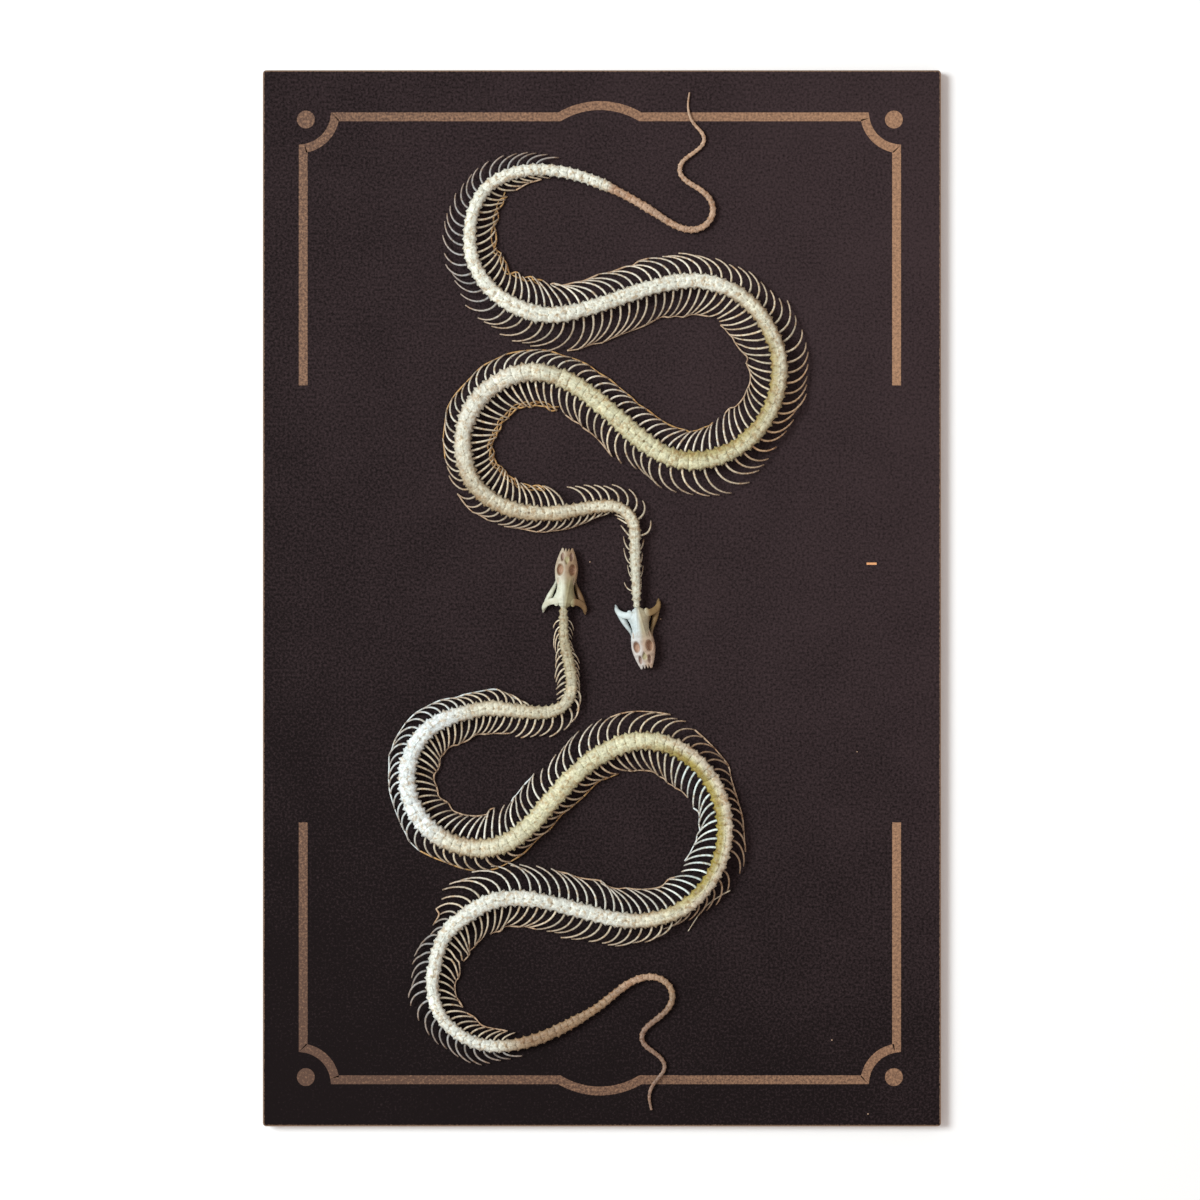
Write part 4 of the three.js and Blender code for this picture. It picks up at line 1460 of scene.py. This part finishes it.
@dataclass
class Skull:
    """One snake's skull with its two lower jaws.

    A field that ends in _from says where a tint starts and where it is full, counted forward for
    the face and out to the stained and shaded side for the others. The jaws lie flat, and the rest leans
    by roll.
    """

    name: str
    x: float
    y: float
    heading: float
    roll: float
    # The side given here is turned away from the light: its gold-brown and brown are partly real
    # staining and partly painted shade.
    stain_and_shade_side: int
    golden_stain_and_shade: str = "#a6966c"
    cheek_stain_and_shade: str = "#86683a"
    face: str = "#c0a090"
    face_share: float = 0.6
    pale: str = "#c6d2d2"
    size: float = 1.0
    golden_from: tuple[float, float] = (-1.4, 1.0)
    golden_share: float = 0.8
    cheek_from: tuple[float, float] = (2.8, 4.8)
    cheek_share: float = 0.9
    face_from: tuple[float, float] = (8, 15)
    pit_share: float = 0.9
    tooth_root: float = 0.17
    tooth_rings: int = 4
    tooth_corners: int = 5
    tooth_brightness: float = 1.2

    def placed(self, grid: np.ndarray, roll: float) -> np.ndarray:
        """Turns points from the skull's own frame to their place on the board.

        The skull leans about its own length by roll, then turns about the upright by heading, and
        is carried to its place.

        Args:
            grid: Points as forward, side and height.
            roll: Lean in degrees.

        Returns:
            Points in millimetres in the model's frame.
        """
        lean, turn = math.radians(roll), math.radians(self.heading)
        forward, side, height = np.moveaxis(grid * self.size, -1, 0)
        side, height = (
            side * math.cos(lean) - height * math.sin(lean),
            side * math.sin(lean) + height * math.cos(lean),
        )
        x = self.x + forward * math.cos(turn) - side * math.sin(turn)
        y = self.y + forward * math.sin(turn) + side * math.cos(turn)
        return np.stack([x, y, BOARD_FACE + height], axis=-1)

    def tint(self, grid: np.ndarray) -> np.ndarray:
        """Colours the bones: one half gold-brown with age and painted shade, a pinkish face, brown pits,
        painted shade below.

        Args:
            grid: Points as forward, side and height.

        Returns:
            Linear colours.
        """
        forward, side, height = np.moveaxis(grid, -1, 0)
        out = side * self.stain_and_shade_side
        tint = np.broadcast_to(linear(self.pale), grid.shape)
        # Painted shade over real staining: the half turned away from the light is gold-brown, and darker
        # brown towards its edge.
        golden_stain_and_shade = self.golden_share * smooth_step(*self.golden_from, out)
        tint = blended(tint, linear(self.golden_stain_and_shade), golden_stain_and_shade)
        cheek_stain_and_shade = self.cheek_share * smooth_step(*self.cheek_from, out)
        tint = blended(tint, linear(self.cheek_stain_and_shade), cheek_stain_and_shade)
        # On that half the pinkish face is also a quarter stronger, as part of the painted shade.
        shade = self.face_share * (0.75 + 0.25 * smooth_step(-2, 2, out))
        tint = blended(tint, linear(self.face), shade * smooth_step(*self.face_from, forward))
        for pit in ROOF.pits:
            inside = self.pit_share * ROOF.hollow(pit, forward, side)
            tint = blended(tint, linear(pit.colour), inside)
        # Painted shade: each bone is darkened towards its underside, to 0.45 of its brightness at the
        # bottom.
        return tint * (0.45 + 0.55 * smooth_step(0.4, 3.4, height))[..., None]

    def teeth(self, bar: SkullBar, row: ToothRow, way: int) -> np.ndarray:
        """Builds a row of teeth as thin cones that hook back.

        A tooth's middle goes up by its length times p and back by half its length times p squared,
        and its radius falls from the root's to a sixth of it.

        Args:
            bar: The bone that carries the teeth.
            row: Where they are on it, and their size.
            way: 1 for the snake's left, -1 for its right.

        Returns:
            Points as tooth, ring, corner and axis.
        """
        values = bar.curve(way)
        share = np.linspace(row.first, row.last, row.count) * (len(values) - 1)
        root = np.stack([np.interp(share, np.arange(len(values)), axis) for axis in values.T], -1)
        p = np.linspace(0, 1, self.tooth_rings)
        line = np.repeat(root[:, None, :3], self.tooth_rings, axis=1)
        line[..., 2] += row.upward * (root[:, None, 4] * 0.8 + row.length * p)
        line[..., 0] -= 0.5 * row.length * p ** 2
        angle = np.arange(self.tooth_corners) / self.tooth_corners * 2 * np.pi
        radius = self.tooth_root * (1 - 0.83 * p)[None, :, None]
        ring = np.zeros((row.count, self.tooth_rings, self.tooth_corners, 3))
        ring[..., 0] = radius * np.cos(angle)
        ring[..., 1] = radius * np.sin(angle)
        return line[:, :, None, :] + ring

    def add_grid(self, mesh: PieceMesh, grid: np.ndarray, roll: float, light: float = 1.0) -> None:
        """Adds a bone or a row of teeth to a piece.

        Args:
            mesh: The piece.
            grid: Its points in the skull's own frame.
            roll: Lean in degrees.
            light: A factor on its colours.
        """
        mesh.add_tubes(self.placed(grid, roll), self.tint(grid) * light)

    def build(self, bone: bpy.types.Material, replaced: bool) -> None:
        """Builds the cranium, palate and jaws as pieces of their own.

        Args:
            bone: The bone material.
            replaced: Whether the pieces stand for CAD nodes of their own.
        """
        ways = (("left", 1), ("right", -1))
        cranium, palate = PieceMesh(), PieceMesh()
        self.add_grid(cranium, ROOF.grid(), self.roll)
        for _, way in ways:
            self.add_grid(cranium, BACK_SPIKE.grid(way), self.roll)
        piece = cranium.make(f"{self.name}_skull_cranium", bone, "skull_bone")
        if replaced:
            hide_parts("upper_cranium")
        for bar in (PALATE, UPPER_MARGIN):
            for _, way in ways:
                self.add_grid(palate, bar.grid(way), self.roll)
        for _, way in ways:
            teeth = self.teeth(UPPER_MARGIN, UPPER_TEETH, way)
            self.add_grid(palate, teeth, self.roll, self.tooth_brightness)
        palate.make(f"{self.name}_skull_palate", bone, "skull_bone")
        for side, way in ways:
            jaw = PieceMesh()
            for bar in (LOWER_JAW, CHEEK_PLATE):
                self.add_grid(jaw, bar.grid(way), 0)
            self.add_grid(jaw, self.teeth(LOWER_JAW, LOWER_TEETH, way), 0, self.tooth_brightness)
            piece = jaw.make(f"{self.name}_skull_jaw_{side}", bone, "skull_bone")
            if replaced:
                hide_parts(f"upper_jaw_{side}")


@dataclass
class LooseBits:
    """Specks of bone and one shed rib, lying loose on the board.

    Each speck is x, y and radius. The rib is a row of x, y and height above the board.
    """

    specks: tuple[tuple[float, float, float], ...] = (
        (-4.9, 14.9, 0.3), (24.0, -8.5, 0.36), (94.3, -181.1, 0.34), (109.1, -211.4, 0.34),
        (104.6, -62.9, 0.26),
    )
    rib: tuple[tuple[float, float, float], ...] = (
        (35.3, -136.4, 0.7), (39.2, -130.2, 1.6), (43.9, -124.9, 2.2), (52.5, -119.6, 2.0),
    )
    rib_radius: float = 0.27
    rib_corners: int = 6
    rib_rings: int = 28
    speck_rings: int = 7
    speck_corners: int = 7
    speck_flatness: float = 0.6
    pole_angle: float = 0.12

    def build(self, bone: bpy.types.Material) -> None:
        """Builds the specks and the rib as two pieces.

        A speck is a flattened ball: its radius at each ring is the ball's, by the sine of the angle
        from its pole. The rib is the one cubic through its four places.

        Args:
            bone: The bone material.
        """
        x, y, radius = np.array(self.specks).T[:, :, None]
        polar = np.linspace(self.pole_angle, np.pi - self.pole_angle, self.speck_rings)[None, :]
        level = 0 * polar
        lifted = BOARD_FACE + self.speck_flatness * radius + level
        line = np.stack([x - radius * np.cos(polar), y + level, lifted], -1)
        girth = radius * np.sin(polar)
        crumbs = PieceMesh()
        balls = section_tubes(line, girth, self.speck_flatness * girth, self.speck_corners, 1.0)
        crumbs.add_tubes(balls, linear(RIB_TAN))
        crumbs.make("loose_bone_specks", bone, "bone")
        bends = np.array(self.rib)
        part = np.linspace(0, 1, self.rib_rings)
        knots = np.linspace(0, 1, len(bends))
        curve = np.stack([np.polyval(np.polyfit(knots, axis, 3), part) for axis in bends.T], -1)
        curve[:, 2] += BOARD_FACE
        thick = self.rib_radius * (0.7 + 0.5 * part)[None]
        shed = PieceMesh()
        shaft = section_tubes(curve[None], thick, thick, self.rib_corners, 1.0)
        shed.add_tubes(shaft, linear(RIB_CREAM))
        shed.make("loose_rib", bone, "bone")


# ---------------------------------------------------------------- the board and its border


@dataclass
class DisplayBoard:
    """The card that carries the skeletons, with its printed border.

    The border is two bands, one round each end of the board, with a notch at each corner and an
    arch in the middle. A dot sits in each notch.
    """

    middle_x: float = -0.85
    half_width: float = 121.65
    half_height: float = 197.4
    line_width: float = 3.6
    line_ends: tuple[float, float] = (87.3, 91.9)
    corner_radius: float = 14.8
    corner_offset: float = 1.7
    corner_points: int = 25
    arch_half_chord: float = 16.6
    arch_rise: float = 4.6
    arch_points: int = 33
    dot_radius: float = 3.65
    dot_inset: float = 1.1
    dot_points: int = 48
    dash: tuple[tuple[float, float], ...] = ((108.5, 14.2), (112.6, 14.2))
    dash_width: float = 0.9
    ink_levels: tuple[float, float] = (BOARD_FACE - 0.02, BOARD_FACE + 0.05)

    def build(self) -> None:
        """Dresses the card and prints the border on it."""
        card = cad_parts["board"]
        card.data.materials.clear()
        card.data.materials.append(PrintedCard().material())
        ink = CopperInk().material()
        self.print_ink("printed_border", ink, self.bands())
        self.print_ink("printed_corner_dots", ink, self.dots())
        bright = CopperInk("bright_copper_ink", "#c9885a", "#f0b27c").material()
        dash = self.strip(np.array(self.dash), self.dash_width)
        self.print_ink("printed_dash", bright, [dash])

    def strip(self, line: np.ndarray, width: float) -> np.ndarray:
        """Lays a flat strip of ink along a line, with square ends and mitred bends.

        At a bend its edges stand along the mean of the two square directions, made longer by 1
        over the cosine of half the bend so that the strip keeps its width.

        Args:
            line: Points in x and y.
            width: The strip's width.

        Returns:
            Points as tube, ring, corner and axis.
        """
        step = np.diff(line, axis=0)
        step /= np.linalg.norm(step, axis=-1, keepdims=True)
        square = np.column_stack([-step[:, 1], step[:, 0]])
        mean = np.concatenate([square[:1], (square[:-1] + square[1:]) / 2, square[-1:]])
        across = mean / (mean ** 2).sum(axis=-1, keepdims=True) * width / 2
        edges = np.stack([line + across, line - across, line - across, line + across], axis=1)
        low, high = self.ink_levels
        height = np.broadcast_to(np.array([high, high, low, low]), edges.shape[:2])
        return np.concatenate([edges, height[..., None]], axis=-1)[None]

    def bands(self) -> list[np.ndarray]:
        """Lays out the straight lines, the notched corners and the arches, one band to each end.

        An arch's radius is (chord squared + rise squared) / (2 * rise), from half its chord.

        Returns:
            A strip for the top of the board and one for its bottom.
        """
        rise, chord = self.arch_rise, self.arch_half_chord
        arch_radius = (chord ** 2 + rise ** 2) / (2 * rise)
        arch_turn = math.asin(chord / arch_radius)
        sweep = np.linspace(-arch_turn, arch_turn, self.arch_points)
        bow = arch_radius * (np.cos(sweep) - math.cos(arch_turn))
        arch = np.column_stack([arch_radius * np.sin(sweep), self.half_height + bow])
        tilt = math.asin(self.corner_offset / self.corner_radius)
        turn = np.linspace(math.pi + tilt, 1.5 * math.pi - tilt, self.corner_points)
        centre = np.array([self.half_width, self.half_height]) + self.corner_offset
        corner = centre + self.corner_radius * np.column_stack([np.cos(turn), np.sin(turn)])
        strips = []
        for up, line_end in zip((1, -1), self.line_ends):
            right = np.vstack([corner, [[self.half_width, line_end]]])
            left = (right * [-1, 1])[::-1]
            band = np.vstack([left, arch, right]) * [1, up] + [self.middle_x, 0]
            strips.append(self.strip(band, self.line_width))
        return strips

    def dots(self) -> list[np.ndarray]:
        """Lays out a round dot in each corner, as a low disc of ink.

        Returns:
            One tube of two rings for each dot.
        """
        angle = np.arange(self.dot_points) / self.dot_points * 2 * np.pi
        round_edge = self.dot_radius * np.column_stack([np.cos(angle), np.sin(angle)])
        discs = []
        for up in (1, -1):
            for way in (1, -1):
                rim = round_edge + [
                    self.middle_x + way * (self.half_width - self.dot_inset),
                    up * (self.half_height - self.dot_inset),
                ]
                rings = [np.column_stack([rim, np.full(len(rim), at)]) for at in self.ink_levels]
                discs.append(np.array(rings)[None])
        return discs

    @staticmethod
    def print_ink(name: str, ink: bpy.types.Material, shapes: list[np.ndarray]) -> None:
        """Makes one piece of ink, shaded by its flat faces.

        Args:
            name: Name of the piece.
            ink: Its material.
            shapes: The tubes of ink.
        """
        mesh = PieceMesh()
        for shape in shapes:
            mesh.add_tubes(shape, np.ones(3))
        polygons = mesh.make(name, ink, None).data.polygons
        polygons.foreach_set("use_smooth", np.zeros(len(polygons), dtype=bool))


# ---------------------------------------------------------------- floor, light and camera


@dataclass
class Studio:
    """The white floor, the soft light from the upper left, and the camera above the board."""

    view_width_m: float = 0.492
    lens: float = 100.0
    sensor: float = 36.0
    aim: tuple[float, float] = (-0.0008, -0.0007)
    key_way: tuple[float, float, float] = (-1.0, 0.3, 1.1)
    key_distance: float = 3.2
    key_size: float = 1.5
    key_power: float = 96.0
    key_colour: tuple[float, float, float] = (0.9, 0.98, 1.0)
    world_strength: float = 0.56
    world_colour: tuple[float, float, float] = (1.0, 0.9, 0.86)
    floor_half: float = 3.0

    def build(self) -> None:
        """Builds the floor, the lights and the camera."""
        self.lay_floor()
        self.light()
        self.aim_camera()

    def lay_floor(self) -> None:
        """Lays a large plain floor under the board."""
        half = self.floor_half
        mesh = bpy.data.meshes.new("floor")
        corners = [(-half, -half, 0), (half, -half, 0), (half, half, 0), (-half, half, 0)]
        mesh.from_pydata(corners, [], [(0, 1, 2, 3)])
        mesh.materials.append(PaleFloor().material())
        floor = bpy.data.objects.new("floor", mesh)
        bpy.context.scene.collection.objects.link(floor)

    def light(self) -> None:
        """Sets one soft lamp low on the upper left, and an even warm surround."""
        lamp = bpy.data.lights.new("window_light", "AREA")
        lamp.shape = "DISK"
        lamp.size = self.key_size
        lamp.energy = self.key_power
        lamp.color = self.key_colour
        key = bpy.data.objects.new("window_light", lamp)
        way = np.array(self.key_way) / np.linalg.norm(self.key_way)
        key.location = way * self.key_distance
        key.rotation_euler = (math.acos(way[2]), 0.0, math.atan2(-way[1], -way[0]) - math.pi / 2)
        bpy.context.scene.collection.objects.link(key)
        world = bpy.data.worlds.new("surround")
        world.use_nodes = True
        background = world.node_tree.nodes["Background"]
        background.inputs["Color"].default_value = (*self.world_colour, 1.0)
        background.inputs["Strength"].default_value = self.world_strength
        bpy.context.scene.world = world
        bpy.context.scene.view_settings.view_transform = "Standard"

    def aim_camera(self) -> None:
        """Hangs the camera straight over the board, with the board's top up."""
        data = bpy.data.cameras.new("camera")
        data.sensor_width = self.sensor
        data.lens = self.lens
        camera = bpy.data.objects.new("camera", data)
        distance = self.view_width_m * self.lens / self.sensor
        camera.location = (*self.aim, BOARD_FACE * MM + distance)
        bpy.context.scene.collection.objects.link(camera)
        bpy.context.scene.camera = camera


# ---------------------------------------------------------------- the whole


def upper_backbone() -> Backbone:
    """Gives the upper snake's spine, with its lengths and stains.

    Returns:
        The spine, ready to be built.
    """
    return Backbone(
        name="upper",
        route=UPPER_ROUTE,
        sway=UPPER_SWAY,
        reach=UPPER_REACH,
        lengths=(
            ("neck", 43), ("trunk_1", 113), ("trunk_2", 281), ("trunk_3", 446), ("trunk_4", 527),
            ("tail_1", 594), ("tail_2", 700),
        ),
        stains=(
            Stain(-20, 30, NECK_GREY, 0.5),
            Stain(58, 120, DUN, 0.4),
            Stain(55, 118, FLANK_BROWN, 0.5, Side.RIGHT),
            Stain(120, 172, BLEACHED, 0.5, softness=20),
            Stain(180, 275, CREAM_YELLOW, 0.65, softness=25),
            Stain(270, 300, OLIVE, 0.2),
            Stain(236, 322, OLIVE, 0.7, Side.RIGHT),
            Stain(345, 549, CHALK, 0.75),
            Stain(549, 900, TAIL_TAN, 1.0, softness=1.5),
        ),
        rib_stains=(
            Stain(56, 112, DULL_TAN, 0.6, Side.RIGHT),
            Stain(118, 180, BLEACHED, 0.5, Side.RIGHT),
            Stain(180, 272, PALE_CREAM, 0.8, Side.RIGHT),
            Stain(358, 438, DULL_TAN, 0.5, Side.RIGHT),
            Stain(440, 530, SLATE, 0.85, Side.RIGHT),
            Stain(115, 182, WARM_CREAM, 0.8, Side.LEFT),
            Stain(262, 306, ORANGE_TAN, 0.7, Side.LEFT),
            Stain(358, 440, BLEACHED, 0.5, Side.LEFT),
        ),
        strands=(
            Strand(50, 90, Side.RIGHT), Strand(92, 110, Side.RIGHT),
            Strand(118, 262, Side.RIGHT, GOLDEN_GRISTLE), Strand(266, 342, Side.RIGHT),
            Strand(346, 418, Side.RIGHT), Strand(68, 187, Side.LEFT, GOLDEN_GRISTLE, 3),
            Strand(190, 222, Side.LEFT), Strand(372, 402, Side.LEFT),
            Strand(392, 428, Side.LEFT), Strand(428, 503, Side.LEFT, GOLDEN_GRISTLE, 2),
            Strand(503, 524, Side.LEFT),
        ),
        gaps=(Gap(38, 45, Side.RIGHT), Gap(58.5, 65, Side.LEFT)),
        seed=11,
    )


def lower_backbone() -> Backbone:
    """Gives the lower snake's spine, with its lengths and stains.

    Returns:
        The spine, ready to be built.
    """
    return Backbone(
        name="lower",
        route=LOWER_ROUTE,
        sway=LOWER_SWAY,
        reach=LOWER_REACH,
        lengths=(
            ("neck", 43), ("trunk_1", 125), ("trunk_2", 260), ("trunk_3", 425), ("trunk_4", 519),
            ("tail_1", 590), ("tail_2", 700),
        ),
        stains=(
            Stain(-20, 34, NECK_OLIVE, 0.8),
            Stain(34, 62, STONE, 0.6),
            Stain(62, 88, ASH_CREAM, 0.4),
            Stain(84, 150, COOL_WHITE, 0.9),
            Stain(178, 345, CREAM_YELLOW, 0.6, softness=20),
            Stain(258, 345, DEEP_OLIVE, 1.0, Side.LEFT, 14),
            Stain(262, 345, PINK_CREAM, 0.5, Side.RIGHT),
            Stain(368, 514, COOL_CHALK, 0.8),
            Stain(518, 900, TAIL_OLIVE, 1.0, softness=8),
            Stain(566, 590, TAIL_TAN, 0.8),
            Stain(600, 900, TAIL_BROWN, 0.8, softness=14),
        ),
        rib_stains=(
            Stain(150, 235, RIB_CHALK, 0.75, Side.RIGHT),
            Stain(262, 345, RIB_BROWN, 0.85, Side.RIGHT),
            Stain(360, 440, DULL_TAN, 0.3, Side.RIGHT),
            Stain(84, 145, RIB_BLUE_WHITE, 0.85, Side.LEFT),
            Stain(170, 240, ORANGE_TAN, 0.4, Side.LEFT),
            Stain(268, 345, RIB_COOL_WHITE, 0.9, Side.LEFT),
            Stain(345, 425, RIB_SILVER, 0.7, Side.LEFT),
            Stain(440, 520, SLATE, 0.85, Side.LEFT),
        ),
        strands=(
            Strand(62, 186, Side.RIGHT), Strand(190, 213, Side.RIGHT, PALE_GRISTLE),
            Strand(240, 262, Side.RIGHT), Strand(266, 318, Side.RIGHT), Strand(400, 436, Side.RIGHT),
            Strand(437, 464, Side.RIGHT), Strand(464, 490, Side.RIGHT), Strand(490, 520, Side.RIGHT),
            Strand(57, 150, Side.LEFT, PALE_GRISTLE),
            Strand(148, 240, Side.LEFT, GOLDEN_GRISTLE), Strand(240, 291, Side.LEFT),
            Strand(291, 328, Side.LEFT, PALE_GRISTLE), Strand(331, 338, Side.LEFT),
            Strand(338, 404, Side.LEFT), Strand(441, 453, Side.LEFT),
        ),
        gaps=(Gap(40, 55, Side.LEFT), Gap(316, 319.5, Side.RIGHT)),
        full_ribs_from=0.0,
        seed=23,
    )


def main() -> None:
    """Builds every sub-assembly."""
    logging.basicConfig(level=logging.INFO, format="%(name)s %(message)s")
    DisplayBoard().build()
    bone = BoneFinish(
        "dry_spine_bone", mottle_mm=1.0, lump_height_mm=0.3, patch_share=0.6, shades=(0.76, 1.16),
    ).material()
    halved = ("neck", "trunk_1", "trunk_2", "trunk_3", "trunk_4")
    upper_nodes = {name: (f"upper_{name}_left", f"upper_{name}_right") for name in halved}
    upper_nodes |= {name: (f"upper_{name}",) for name in ("tail_1", "tail_2")}
    upper_backbone().build(bone, upper_nodes)
    lower_backbone().build(bone, {"trunk_2": ("lower_snake",)})
    smooth = BoneFinish(
        "dry_skull_bone", mottle_mm=1.4, lump_height_mm=0.06, patch_share=0.22, shades=(0.9, 1.06),
    ).material()
    Skull("upper", x=14.8, y=-4.4, heading=-81.5, roll=3, stain_and_shade_side=1).build(smooth, True)
    Skull(
        "lower", x=-15.3, y=-3.3, heading=87.0, roll=0, stain_and_shade_side=-1, golden_stain_and_shade="#837642",
        cheek_stain_and_shade="#7d5c38", face="#97795f", pale="#cfd1bd", face_share=0.85, size=0.97,
    ).build(smooth, False)
    LooseBits().build(bone)
    Studio().build()


if __name__ == "__main__":
    main()
